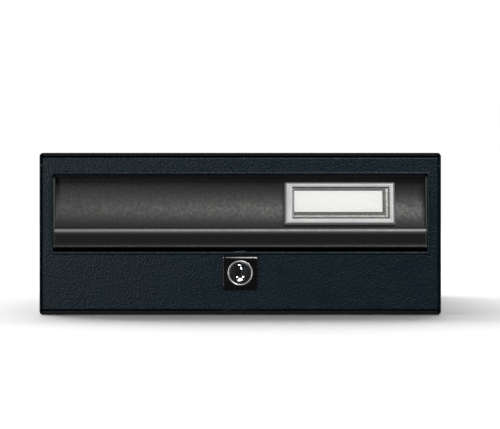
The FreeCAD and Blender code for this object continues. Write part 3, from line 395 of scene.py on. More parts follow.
# Steel rivets with a black plate, set by a puller: dark, with a grey rim that is partly
# rubbed and partly painted highlight.
RIVET = Finish("black_plated_steel_rivet", "#26282a", "#1c1e20", "#6a6c6e", 1.0, 0.38,
               0.08, Grain.PLATED, 0.6, 0.01, patch_mm=2.0, edge_wear_and_highlight=0.6, edge_mm=0.2)
# Wire drawn through a die and oil tempered: fine lines under a thin brown scale.
SPRING = Finish("oil_tempered_spring_wire", "#5c5a56", "#47453f", "#8d8b86", 1.0, 0.3,
                0.06, Grain.BRUSHED, 0.2, 0.004, patch_mm=3.0, edge_wear_and_highlight=0.2, edge_mm=0.08)
# Nitrile rubber, moulded under pressure: black and dull, with a faint bloom.
RUBBER = Finish("moulded_nitrile_rubber", "#161616", "#1d1d1d", "#262626", 0.0, 0.75,
                0.06, Grain.MOULDED, 0.4, 0.02, edge_wear_and_highlight=0.2, edge_mm=0.4, specular=0.35)
# Hot-stamped silver foil on the ledge round the card, a little warm and dull.
LEDGE_FOIL = Finish("hot_stamped_silver_foil", "#77726c", "#68635d", "#9c9892", 1.0, 0.4,
                    0.08, Grain.PLATED, 0.5, 0.006, patch_mm=3.0, edge_wear_and_highlight=0.2, edge_mm=0.1)
# Polycarbonate, extruded as sheet and cut: clear, with a faint haze and a weak gleam.
WINDOW = ClearSheet("clear_polycarbonate_sheet", "#fbfcfc", 0.16)

SLOT_FINISH: dict[str, Finish | ClearSheet] = {
    "casing_coat": CASE_COAT, "door_coat": DOOR_COAT, "anodised": FLAP_ANODISED,
    "silver_trim": SILVER_TRIM, "plate_base": PLATE_BASE, "card_stock": CARD,
    "clear_window": WINDOW, "cap_plastic": CAP_PLASTIC, "black_plastic": BLACK_PLASTIC,
    "gloss_black": GLOSS_BLACK, "lock_chrome": CHROME, "plug_metal": PLUG_METAL,
    "wafer_brass": BRASS, "zinc_steel": ZINC, "rivet_steel": RIVET,
    "spring_steel": SPRING, "buffer_rubber": RUBBER, "ledge_foil": LEDGE_FOIL,
}


# ------------------------------------------------------------------ workshop
def link(name: str, data: bpy.types.ID) -> bpy.types.Object:
    """Add an object to the scene.

    Args:
        name: The object's name.
        data: The mesh, light or camera that it carries.

    Returns:
        The new object.
    """
    made = bpy.data.objects.new(name, data)
    bpy.context.scene.collection.objects.link(made)
    return made


@dataclass(frozen=True)
class Bend:
    """Where a piece that joins two bodies leaves one and reaches the other.

    Attributes:
        far_body: The second body; not used.
        start: Where the piece leaves the first body.
        end: Where it reaches the second.
    """

    far_body: str
    start: tuple[float, float, float]
    end: tuple[float, float, float]


@dataclass
class Workshop:
    """Paints CAD nodes, and puts new pieces on their bodies.

    Attributes:
        nodes: Every CAD node by name.
        made: The finishes built so far, by slot.
    """

    nodes: dict[str, bpy.types.Object]
    made: dict[str, bpy.types.Material] = field(default_factory=dict)

    def finish(self, slot: str) -> bpy.types.Material:
        """Return the material of a slot, building it the first time.

        Args:
            slot: A name in SLOT_FINISH.

        Returns:
            The slot's material.
        """
        if slot not in self.made:
            self.made[slot] = SLOT_FINISH[slot].build()
        return self.made[slot]

    def dress(self, names: Iterable[str]) -> None:
        """Give carried-over CAD nodes the finish of the slot that each was packed with.

        Args:
            names: The nodes to dress.
        """
        for name in names:
            for place in self.nodes[name].material_slots:
                place.material = self.finish(place.material.name.split(".")[0])
            LOG.info("dressed %s", name)

    def put(self, name: str, mesh: bpy.types.Mesh, body: str, slot: str,
            stands_for: Sequence[str] = (), bend: Bend | None = None,
            finish: str | None = None) -> None:
        """Paint a finished mesh and put it in the scene.

        Args:
            name: The piece's name.
            mesh: Its mesh, in the object's frame.
            body: The body that it rides on.
            slot: The record's slot that its finish comes from.
            stands_for: CAD nodes that it replaces.
            bend: Where it joins two bodies; such a piece is only fixed where it stands and
                hung on no body.
            finish: A name in SLOT_FINISH, where the piece has a finish of its own.
        """
        mesh.materials.append(self.finish(finish or slot))
        piece = link(name, mesh)
        if bend:
            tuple(bend.start)
            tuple(bend.end)
            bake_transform(piece)
        else:
            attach(piece, body)
        if stands_for:
            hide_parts(*stands_for)
        LOG.info("built %s: %d faces on %s", name, len(mesh.polygons), body)


# ------------------------------------------------------------------ shape helpers
def skin(shape: bmesh.types.BMesh, rings: Sequence[Sequence[Vector]],
         joined: bool = False) -> None:
    """Skin a stack of rings that all have the same number of points.

    Args:
        shape: The mesh that takes the faces.
        rings: The rings in order.
        joined: Whether the last ring runs into the first; otherwise both ends are capped.
    """
    rows = [[shape.verts.new(point) for point in ring] for ring in rings]
    for lower, upper in zip(rows, rows[1:] + rows[:1] if joined else rows[1:]):
        for here in range(len(lower)):
            after = (here + 1) % len(lower)
            shape.faces.new((lower[here], lower[after], upper[after], upper[here]))
    if not joined:
        shape.faces.new(rows[0])
        shape.faces.new(rows[-1])


def closed(name: str, shape: bmesh.types.BMesh, smooth: float = 0.0) -> bpy.types.Mesh:
    """Merge a shape's doubles, face it outwards and turn it into a mesh.

    Args:
        name: The mesh's name.
        shape: The closed shape, which is used up.
        smooth: The angle in degrees under which an edge shades smooth.

    Returns:
        The mesh.
    """
    bmesh.ops.remove_doubles(shape, verts=shape.verts[:], dist=0.001 * MM)
    bmesh.ops.recalc_face_normals(shape, faces=shape.faces[:])
    mesh = bpy.data.meshes.new(name)
    shape.to_mesh(mesh)
    shape.free()
    if smooth:
        mesh.shade_smooth()
        mesh.set_sharp_from_angle(angle=math.radians(smooth))
    return mesh


def loft(name: str, rings: Sequence[Sequence[Vector]], joined: bool = False,
         smooth: float = 35.0) -> bpy.types.Mesh:
    """Build one closed mesh from a stack of rings.

    Args:
        name: The mesh's name.
        rings: The rings in order.
        joined: Whether the last ring runs into the first.
        smooth: The angle in degrees under which an edge shades smooth.

    Returns:
        The mesh.
    """
    shape = bmesh.new()
    skin(shape, rings, joined)
    return closed(name, shape, smooth)


def rounded(half_u: float, half_v: float, corner: float, steps: int = 8) -> list[Vector]:
    """Outline a rectangle with rounded corners.

    Args:
        half_u: Half of its width.
        half_v: Half of its height.
        corner: Radius of its corners.
        steps: Points on each corner.

    Returns:
        Four equal runs of points, anticlockwise.
    """
    outline = []
    for quarter in range(4):
        middle_u = (half_u - corner) * (1 if quarter in (0, 3) else -1)
        middle_v = (half_v - corner) * (1 if quarter in (0, 1) else -1)
        for step in range(steps):
            angle = math.pi / 2 * (quarter + step / (steps - 1))
            outline.append(Vector((middle_u + corner * math.cos(angle),
                                   middle_v + corner * math.sin(angle), 0)))
    return outline


def circle(radius: float, steps: int = 8) -> list[Vector]:
    """Outline a circle whose points pair up with those of a rounded rectangle.

    Args:
        radius: Its radius.
        steps: Points on each quarter.

    Returns:
        The points, anticlockwise.
    """
    angles = [math.pi / 2 * (quarter + (step + 0.5) / steps)
              for quarter in range(4) for step in range(steps)]
    return [Vector((radius * math.cos(a), radius * math.sin(a), 0)) for a in angles]


@dataclass(frozen=True)
class Plane:
    """A place to draw on, with u to the right, v up and n out of the front.

    Attributes:
        frame: The matrix from u, v and n to the object's frame.
    """

    frame: Matrix

    @classmethod
    def facing_front(cls, x: float, y: float, z: float, lean: float = 0.0) -> "Plane":
        """Return the plane at a point that leans back by an angle in degrees."""
        return cls(Matrix.Translation((x, y, z))
                   @ Matrix.Rotation(math.radians(90 - lean), 4, "X"))

    def ring(self, outline: Iterable[Vector], level: float,
             shift: tuple[float, float] = (0, 0)) -> list[Vector]:
        """Set an outline on the plane, at a level over it and shifted along it."""
        return [self.frame @ (point + Vector((*shift, level))) for point in outline]


# ------------------------------------------------------------------ geometry trees
@dataclass
class GeometryTree:
    """A geometry node tree with named inputs, baked to a plain mesh.

    Attributes:
        name: The tree's name.
        sizes: Named number inputs with their values.
        tree: The node tree.
        feed: Its input node.
    """

    name: str
    sizes: dict[str, float]
    tree: bpy.types.GeometryNodeTree = field(init=False)
    feed: bpy.types.Node = field(init=False)

    def __post_init__(self) -> None:
        """Make the tree and its sockets."""
        self.tree = bpy.data.node_groups.new(self.name, "GeometryNodeTree")
        face = self.tree.interface
        face.new_socket("Geometry", in_out="INPUT", socket_type="NodeSocketGeometry")
        for name in self.sizes:
            face.new_socket(name, in_out="INPUT", socket_type="NodeSocketFloat")
        face.new_socket("Geometry", in_out="OUTPUT", socket_type="NodeSocketGeometry")
        self.feed = add(self.tree, "NodeGroupInput")

    def size(self, name: str) -> bpy.types.NodeSocket:
        """Return the socket of a named input."""
        return self.feed.outputs[name]

    def bake(self, whole: bpy.types.Node, start: bpy.types.Mesh | None = None,
             smooth: float = 40.0) -> bpy.types.Mesh:
        """End the tree, run it and keep its result.

        Args:
            whole: The node that holds the result.
            start: The mesh that the tree is given, if it needs one.
            smooth: The angle in degrees under which an edge shades smooth.

        Returns:
            The result as a plain mesh.
        """
        real = add(self.tree, "GeometryNodeRealizeInstances", {0: whole})
        angle = add(self.tree, "GeometryNodeInputMeshEdgeAngle")
        gentle = add(self.tree, "ShaderNodeMath", {0: angle, 1: math.radians(smooth)},
                     operation="LESS_THAN")
        faces = add(self.tree, "GeometryNodeSetShadeSmooth", {0: real})
        edges = add(self.tree, "GeometryNodeSetShadeSmooth",
                    {0: faces, "Shade Smooth": gentle}, domain="EDGE")
        add(self.tree, "NodeGroupOutput", {0: edges})
        carrier = link(self.name, start or bpy.data.meshes.new(self.name))
        modifier = carrier.modifiers.new(self.name, "NODES")
        modifier.node_group = self.tree
        for item in self.tree.interface.items_tree:
            if item.in_out == "INPUT" and item.name in self.sizes:
                modifier[item.identifier] = float(self.sizes[item.name])
        ready = carrier.evaluated_get(bpy.context.evaluated_depsgraph_get())
        mesh = bpy.data.meshes.new_from_object(ready)
        mesh.materials.clear()
        mesh.name = self.name
        bpy.data.objects.remove(carrier)
        return mesh


# ------------------------------------------------------------------ cabinet
class Rivet(NamedTuple):
    """One rivet's outside point, its direction inwards, and its grip."""

    place: Vector
    inward: Vector
    grip: float


@dataclass
class CountersunkRivets:
    """Flush rivets, each with a countersunk head, a broken-off mandrel and a set tail.

    Attributes:
        shop: Where the rivets go.
        name: The piece's name.
        node: The CAD node that it stands for.
        tail: Height of the tail, or 0 for a flush tail.
        tail_foot: Radius of the tail where it grips.
        tail_tip: Radius of its far end.
        head: Radius of the head.
        sink: Depth of the head.
        shank: Radius of the shank.
        dimple: Width of the mandrel's dimple, as a share of the head's.
        dimple_depth: Depth of the dimple.
        sides: Sides of every round.
    """

    shop: Workshop
    name: str
    node: str
    tail: float = 0.0
    tail_foot: float = 2.2 * MM
    tail_tip: float = 1.35 * MM
    head: float = 2.78 * MM
    sink: float = 0.8 * MM
    shank: float = 1.49 * MM
    dimple: float = 0.4
    dimple_depth: float = 0.3 * MM
    sides: int = 24

    def start(self, rivets: Sequence[Rivet]) -> bpy.types.Mesh:
        """Mark each rivet's place with a point that knows its direction and grip.

        Args:
            rivets: The rivets.

        Returns:
            A mesh of loose points.
        """
        mesh = bpy.data.meshes.new(self.name)
        mesh.from_pydata([tuple(rivet.place) for rivet in rivets], [], [])
        for key, kind, part in (("inward", "FLOAT_VECTOR", "vector"),
                                ("grip", "FLOAT", "value")):
            layer = mesh.attributes.new(key, kind, "POINT")
            for entry, rivet in zip(layer.data, rivets):
                setattr(entry, part, getattr(rivet, key))
        return mesh

    def build(self, rivets: Sequence[Rivet]) -> None:
        """Set the rivets.

        Args:
            rivets: The rivets.
        """
        group = GeometryTree(self.name, {"Head Radius": self.head, "Sink": self.sink,
                                         "Shank Radius": self.shank,
                                         "Tail Height": self.tail})
        tree, size = group.tree, group.size
        head = add(tree, "GeometryNodeMeshCone",
                   {"Vertices": self.sides, "Radius Top": size("Shank Radius"),
                    "Radius Bottom": size("Head Radius"), "Depth": size("Sink")})
        rim = add(tree, "GeometryNodeExtrudeMesh",
                  {"Mesh": head, "Selection": head.outputs["Bottom"], "Offset Scale": 0.0},
                  mode="FACES")
        drawn = add(tree, "GeometryNodeScaleElements",
                    {"Geometry": rim, "Selection": rim.outputs["Top"],
                     "Scale": self.dimple})
        dimple = add(tree, "GeometryNodeExtrudeMesh",
                     {"Mesh": drawn, "Selection": rim.outputs["Top"],
                      "Offset Scale": -self.dimple_depth}, mode="FACES")
        shank = add(tree, "GeometryNodeMeshCylinder",
                    {"Vertices": self.sides, "Radius": size("Shank Radius"), "Depth": 1.0})
        tail = add(tree, "GeometryNodeMeshCone",
                   {"Vertices": self.sides, "Radius Top": self.tail_tip,
                    "Radius Bottom": self.tail_foot, "Depth": size("Tail Height")})
        inward = add(tree, "GeometryNodeInputNamedAttribute", {"Name": "inward"},
                     data_type="FLOAT_VECTOR")
        grip = add(tree, "GeometryNodeInputNamedAttribute", {"Name": "grip"},
                   data_type="FLOAT")
        turn = add(tree, "FunctionNodeAlignRotationToVector", {"Vector": inward}, axis="Z")
        inside = add(tree, "ShaderNodeMath", {0: size("Sink"), 1: 0.5},
                     operation="MULTIPLY")
        length = add(tree, "ShaderNodeMath", {0: grip, 1: inside}, operation="SUBTRACT")
        both = add(tree, "ShaderNodeMath", {0: grip, 1: inside}, operation="ADD")
        halfway = add(tree, "ShaderNodeMath", {0: both, 1: 0.5}, operation="MULTIPLY")
        sunk = add(tree, "ShaderNodeCombineXYZ", {0: 1.0, 1: 1.0, 2: length})
        sets = []
        for shape, depth, scale in ((dimple, 0.0, (1, 1, 1)), (shank, halfway, sunk),
                                    (tail, grip, (1, 1, 1))):
            offset = add(tree, "ShaderNodeVectorMath", {0: inward, "Scale": depth},
                         operation="SCALE")
            moved = add(tree, "GeometryNodeSetPosition",
                        {0: size("Geometry"), "Offset": offset})
            sets.append(add(tree, "GeometryNodeInstanceOnPoints",
                            {"Points": moved, "Instance": shape, "Rotation": turn,
                             "Scale": scale}))
        whole = add(tree, "GeometryNodeJoinGeometry", {0: sets if self.tail else sets[:2]})
        self.shop.put(self.name, group.bake(whole, self.start(rivets)), "cabinet",
                      "rivet_steel", [self.node])


@dataclass
class Cabinet:
    """The folded case with its rails and rear panel."""

    shop: Workshop
    width: float = 270.0 * MM
    height: float = 109.0 * MM
    front_y: float = -186.6 * MM
    rear_y: float = 188.4 * MM
    sheet: float = 1.0 * MM
    top_rail: float = 1.0 * MM
    bottom_rail: float = 1.7 * MM
    rail_depth: float = 11.0 * MM
    rail_pitch: float = 110.0 * MM
    rear_inset: float = 6.0 * MM
    rear_pitch_x: float = 90.0 * MM
    rear_pitch_z: float = 60.0 * MM
    rear_grip: float = 2.05 * MM
    rear_tail: float = 0.88 * MM

    nodes: tuple[str, ...] = ("body_casing", "seam_strip", "top_rail", "bottom_rail",
                              "rear_panel", "lock_keeper", "door_stop_angles",
                              "door_stop_buffers")

    def rail_rivets(self) -> list[Rivet]:
        """List the rivets through the two rails at the mouth.

        Returns:
            The rivets, with the lower and the upper one in turn.
        """
        y = self.front_y + self.rail_depth / 2
        up, rivets = Vector((0, 0, 1)), []
        for x in (-self.rail_pitch, -self.rail_pitch / 2, self.rail_pitch / 2,
                  self.rail_pitch):
            rivets += [Rivet(Vector((x, y, 0)), up, self.sheet + self.bottom_rail),
                       Rivet(Vector((x, y, self.height)), -up, self.sheet + self.top_rail)]
        return rivets

    def rear_rivets(self) -> list[Rivet]:
        """List the rivets round the rear panel.

        Returns:
            The rivets below and above, then those at the sides.
        """
        y = self.rear_y - self.rear_inset
        up, right, rivets = Vector((0, 0, 1)), Vector((1, 0, 0)), []
        for x in (-self.rear_pitch_x, self.rear_pitch_x):
            rivets += [Rivet(Vector((x, y, 0)), up, self.rear_grip),
                       Rivet(Vector((x, y, self.height)), -up, self.rear_grip)]
        for z in ((self.height - self.rear_pitch_z) / 2,
                  (self.height + self.rear_pitch_z) / 2):
            rivets += [Rivet(Vector((-self.width / 2, y, z)), right, self.rear_grip),
                       Rivet(Vector((self.width / 2, y, z)), -right, self.rear_grip)]
        return rivets

    def build(self) -> None:
        """Dress the steel and set its rivets."""
        self.shop.dress(self.nodes)
        CountersunkRivets(self.shop, "rail_rivet_row",
                          "rail_rivets").build(self.rail_rivets())
        CountersunkRivets(self.shop, "rear_rivet_row", "rear_rivets",
                          self.rear_tail).build(self.rear_rivets())


# ------------------------------------------------------------------ door
@dataclass
class OpeningHem:
    """The rolled edge pressed round the letter opening."""

    shop: Workshop
    half_width: float = 126.15 * MM
    bottom: float = 42.3 * MM
    top: float = 94.5 * MM
    front_y: float = -186.6 * MM
    overhang: float = 0.2 * MM
    half_bead: float = 1.0 * MM
    proud: float = 0.4 * MM
    corner: float = 1.2 * MM

    def build(self) -> None:
        """Sweep the bead round the opening."""
        reach = self.half_bead - self.overhang
        group = GeometryTree("opening_hem",
                             {"Path Width": 2 * (self.half_width + reach),
                              "Path Height": self.top - self.bottom + 2 * reach,
                              "Corner Radius": self.corner,
                              "Half Bead": self.half_bead, "Proud": self.proud})
        tree, size = group.tree, group.size
        path = add(tree, "GeometryNodeCurvePrimitiveQuadrilateral",
                   {"Width": size("Path Width"), "Height": size("Path Height")})
        eased = add(tree, "GeometryNodeFilletCurve",
                    {"Curve": path, "Count": 6, "Radius": size("Corner Radius")},
                    mode="POLY")
        upright = add(tree, "GeometryNodeSetCurveNormal", {0: eased}, mode="Z_UP")
        unit = add(tree, "GeometryNodeCurvePrimitiveCircle",
                   {"Resolution": 20, "Radius": 1.0})
        section = add(tree, "ShaderNodeCombineXYZ",
                      {0: size("Half Bead"), 1: size("Proud"), 2: 1.0})
        bead = add(tree, "GeometryNodeTransform", {0: unit, "Scale": section})
        swept = add(tree, "GeometryNodeCurveToMesh",
                    {"Curve": upright, "Profile Curve": bead})
        stood = add(tree, "GeometryNodeTransform",
                    {0: swept, "Rotation": (math.pi / 2, 0, 0),
                     "Translation": (0, self.front_y, (self.top + self.bottom) / 2)})
        self.shop.put("opening_hem", group.bake(stood, smooth=60.0), "door", "door_coat")


class Side(Enum):
    """Which end of the flap a piece is at."""

    LEFT = -1
    RIGHT = 1


@dataclass
class ReturnSpring:
    """A torsion spring on the flap's rod, with one leg on the flap and one on the door."""

    shop: Workshop
    side: Side
    pivot_y: float = -177.1 * MM
    pivot_z: float = 97.1 * MM
    first_x: float = 119.15 * MM
    coil: float = 2.8 * MM
    wire: float = 0.4 * MM
    turns: float = 5.0
    pitch: float = 0.96 * MM
    leg_drop: float = 15.0 * MM
    leg_y: float = -174.28 * MM
    leg_back: float = 1.0 * MM
    leg_top: float = 104.1 * MM

    def build(self) -> None:
        """Wind the spring for the right end and mirror it for the left."""
        label = self.side.name.lower()
        group = GeometryTree(f"return_spring_{label}",
                             {"Coil Radius": self.coil, "Wire Radius": self.wire,
                              "Turns": self.turns, "Pitch": self.pitch})
        tree, size = group.tree, group.size
        height = add(tree, "ShaderNodeMath", {0: size("Turns"), 1: size("Pitch")},
                     operation="MULTIPLY")
        helix = add(tree, "GeometryNodeCurveSpiral",
                    {"Resolution": 28, "Rotations": size("Turns"),
                     "Start Radius": size("Coil Radius"),
                     "End Radius": size("Coil Radius"), "Height": height})
        laid = add(tree, "GeometryNodeTransform",
                   {0: helix, "Rotation": (math.pi / 2, 0, math.pi / 2),
                    "Translation": (self.first_x, self.pivot_y, self.pivot_z)})
        behind = self.pivot_y + self.coil
        last_x = self.first_x + self.turns * self.pitch
        legs = (((self.first_x, behind, self.pivot_z),
                 (self.first_x, self.leg_y, self.pivot_z - self.leg_drop)),
                ((last_x, behind, self.pivot_z),
                 (last_x, behind + self.leg_back, self.leg_top)))
        wires, knots = [laid], []
        for bent, tip in legs:
            wires.append(add(tree, "GeometryNodeCurvePrimitiveLine",
                             {"Start": bent, "End": tip}))
            ball = add(tree, "GeometryNodeMeshIcoSphere",
                       {"Radius": size("Wire Radius"), "Subdivisions": 3})
            knots.append(add(tree, "GeometryNodeTransform", {0: ball, "Translation": bent}))
        route = add(tree, "GeometryNodeJoinGeometry", {0: wires})
        section = add(tree, "GeometryNodeCurvePrimitiveCircle",
                      {"Resolution": 10, "Radius": size("Wire Radius")})
        drawn = add(tree, "GeometryNodeCurveToMesh",
                    {"Curve": route, "Profile Curve": section, "Fill Caps": True})
        whole = add(tree, "GeometryNodeJoinGeometry", {0: [drawn, *knots]})
        if self.side is Side.LEFT:
            turned = add(tree, "GeometryNodeTransform", {0: whole, "Scale": (-1, 1, 1)})
            whole = add(tree, "GeometryNodeFlipFaces", {0: turned})
        first, last = (self.side.value * x
                       for x in (self.first_x + self.wire, last_x - self.wire))
        twist = Bend("door", (first, self.pivot_y, self.pivot_z),
                     (last, self.pivot_y, self.pivot_z))
        self.shop.put(f"return_spring_{label}", group.bake(whole), "flap", "spring_steel",
                      [f"flap_spring_{label}"], twist)


@dataclass
class ShadowStrip:
    """A black rubber strip behind the opening's top edge: a dark sheet that paints the
    shadow under that edge.

    Attributes:
        tip: The rounded tip's outline, as shares of the thickness back and up.
    """

    shop: Workshop
    half_width: float = 124.5 * MM
    back_y: float = -185.1 * MM
    top: float = 96.5 * MM
    bottom: float = 92.7 * MM
    thickness: float = 0.9 * MM
    tip: tuple[tuple[float, float], ...] = ((0.0, 1.0), (0.2, 0.3), (0.6, 0.0), (0.95, 0.3),
                                            (1.0, 1.0))

    def build(self) -> None:
        """Draw the lip's section out along the opening."""
        section = [(self.back_y, self.top)]
        section += [(self.back_y + back * self.thickness, self.bottom + up * self.thickness)
                    for back, up in self.tip]
        section += [(self.back_y + self.thickness, self.top)]
        ends = [[Vector((x, *point)) for point in section]
                for x in (-self.half_width, self.half_width)]
        self.shop.put("painted_shadow_strip", loft("painted_shadow_strip", ends), "door",
                      "buffer_rubber")


@dataclass
class Door:
    """The folded pan that hangs from the top, with what is fixed to it."""

    shop: Workshop
    nodes: tuple[str, ...] = ("door_panel", "pivot_block_left", "pivot_block_right",
                              "hinge_pins", "pivot_block_rivets", "flap_stop_pads")

    def build(self) -> None:
        """Dress the pan, roll its opening's edge and fit the springs."""
        self.shop.dress(self.nodes)
        OpeningHem(self.shop).build()
        # The dark strip paints the shadow under the opening's top edge.
        ShadowStrip(self.shop).build()
        for side in Side:
            ReturnSpring(self.shop, side).build()


# ------------------------------------------------------------------ flap and nameplate
@dataclass
class Nameplate:
    """The bevelled frame, the ledge round the card, the card and its window.

    Attributes:
        shoulder: Inset and drop of the bevel's inner edge, as shares of its softness.
        rolled: Spread and drop of the window's edge, as shares of its softness.
        ledge_box_mm: Left, right, low and high edges of the ledge.
        ledge_widths_mm: Widths of its left, right and low bands.
    """

    shop: Workshop
    middle_x: float = 67.1 * MM
    seat_y: float = -181.4127 * MM
    seat_z: float = 74.5 * MM
    lean: float = 12.594
    seat_gap: float = 0.05 * MM
    half_width: float = 37.3 * MM
    half_height: float = 14.8 * MM
    corner: float = 0.8 * MM
    least_corner: float = 0.3 * MM
    rise: float = 3.0 * MM
    bevel: float = 1.3 * MM
    window_half_width: float = 32.6 * MM
    window_half_height: float = 10.8 * MM
    window_corner: float = 0.35 * MM
    window_shift: tuple[float, float] = (0.7 * MM, 0.3 * MM)
    lip: float = 0.5 * MM
    seat_margin: float = 1.0 * MM
    soft: float = 0.3 * MM
    shoulder: tuple[tuple[float, float], ...] = ((-0.3, 0.3), (0.3, 0.07), (1.0, 0.0))
    rolled: tuple[tuple[float, float], ...] = ((1.0, 0.0), (0.5, 0.13), (0.13, 0.5),
                                               (0.0, 1.0))
    ledge_level: float = 1.65 * MM
    ledge_thickness: float = 0.04 * MM
    ledge_box_mm: tuple[float, float, float, float] = (-31.75, 32.45, -9.35, 10.4)
    ledge_widths_mm: tuple[float, float, float] = (0.5, 1.5, 1.3)

    nodes: tuple[str, ...] = ("nameplate_base", "nameplate_window", "name_card",
                              "nameplate_screws")

    def plane(self) -> Plane:
        """Return the nameplate's own plane, leaning back with the scoop."""
        seat = Plane.facing_front(self.middle_x, self.seat_y, self.seat_z, self.lean)
        return Plane(seat.frame @ Matrix.Translation((0, 0, self.seat_gap)))

    def outer(self, inset: float, level: float) -> list[Vector]:
        """Outline the frame's outside.

        Args:
            inset: How far it comes in.
            level: Its height over the seat.

        Returns:
            The ring.
        """
        corner = max(self.corner - inset * 0.3, self.least_corner)
        outline = rounded(self.half_width - inset, self.half_height - inset, corner)
        return self.plane().ring(outline, level)

    def inner(self, spread: float, level: float) -> list[Vector]:
        """Outline the window's edge.

        Args:
            spread: How far it goes out.
            level: Its height over the seat.

        Returns:
            The ring.
        """
        outline = rounded(self.window_half_width + spread, self.window_half_height + spread,
                          self.window_corner + spread)
        return self.plane().ring(outline, level, self.window_shift)

    def frame_mesh(self) -> bpy.types.Mesh:
        """Build the frame: bevelled outside, rolled inner edge, seat for the window.

        Returns:
            The closed mesh.
        """
        soft, top = self.soft, self.rise
        side = top - self.bevel - soft * 0.6
        rings = [self.outer(0, 0), self.outer(0, side)]
        rings += [self.outer(soft * (1 - math.cos(turn)) * 0.5,
                             side + soft * math.sin(turn) * 0.8) for turn in (0.4, 0.8)]
        rings += [self.outer(self.bevel - soft, top - soft * 0.75)]
        rings += [self.outer(self.bevel + soft * inset, top - soft * drop)
                  for inset, drop in self.shoulder]
        rings += [self.inner(soft * spread, top - soft * drop)
                  for spread, drop in self.rolled]
        rings += [self.inner(0, top - self.lip),
                  self.inner(self.seat_margin, top - self.lip),
                  self.inner(self.seat_margin, 0)]
        return loft("nameplate_trim", rings, joined=True, smooth=50)

    def ledge_mesh(self) -> bpy.types.Mesh:
        """Build the pale ledge that runs round three sides of the card. The black base that
        shows in the thin gaps either side of it paints the shade in those gaps.

        Returns:
            The closed mesh.
        """
        left, right, low, high = self.ledge_box_mm
        on_left, on_right, on_low = self.ledge_widths_mm
        band = [(left, high), (left, low), (right, low), (right, high),
                (right - on_right, high), (right - on_right, low + on_low),
                (left + on_left, low + on_low), (left + on_left, high)]
        outline = [Vector((u * MM, v * MM, 0)) for u, v in band]
        return loft("card_ledge", [self.plane().ring(outline, self.ledge_level + rise)
                                   for rise in (0, self.ledge_thickness)])

    def build(self) -> None:
        """Build the frame and ledge, and dress the card, window and screws."""
        self.shop.dress(self.nodes)
        self.shop.put("nameplate_trim", self.frame_mesh(), "flap", "silver_trim",
                      ["nameplate_frame"])
        # The black base left showing in the gaps round the ledge is painted shade.
        self.shop.put("card_ledge", self.ledge_mesh(), "flap", "plate_base",
                      finish="ledge_foil")


@dataclass
class Flap:
    """The scooped flap that swings inwards on its rod."""

    shop: Workshop
    nodes: tuple[str, ...] = ("flap_profile", "flap_end_cap_left", "flap_end_cap_right",
                              "flap_pivot_rod")

    def build(self) -> None:
        """Dress the flap and build its nameplate."""
        self.shop.dress(self.nodes)
        Nameplate(self.shop).build()


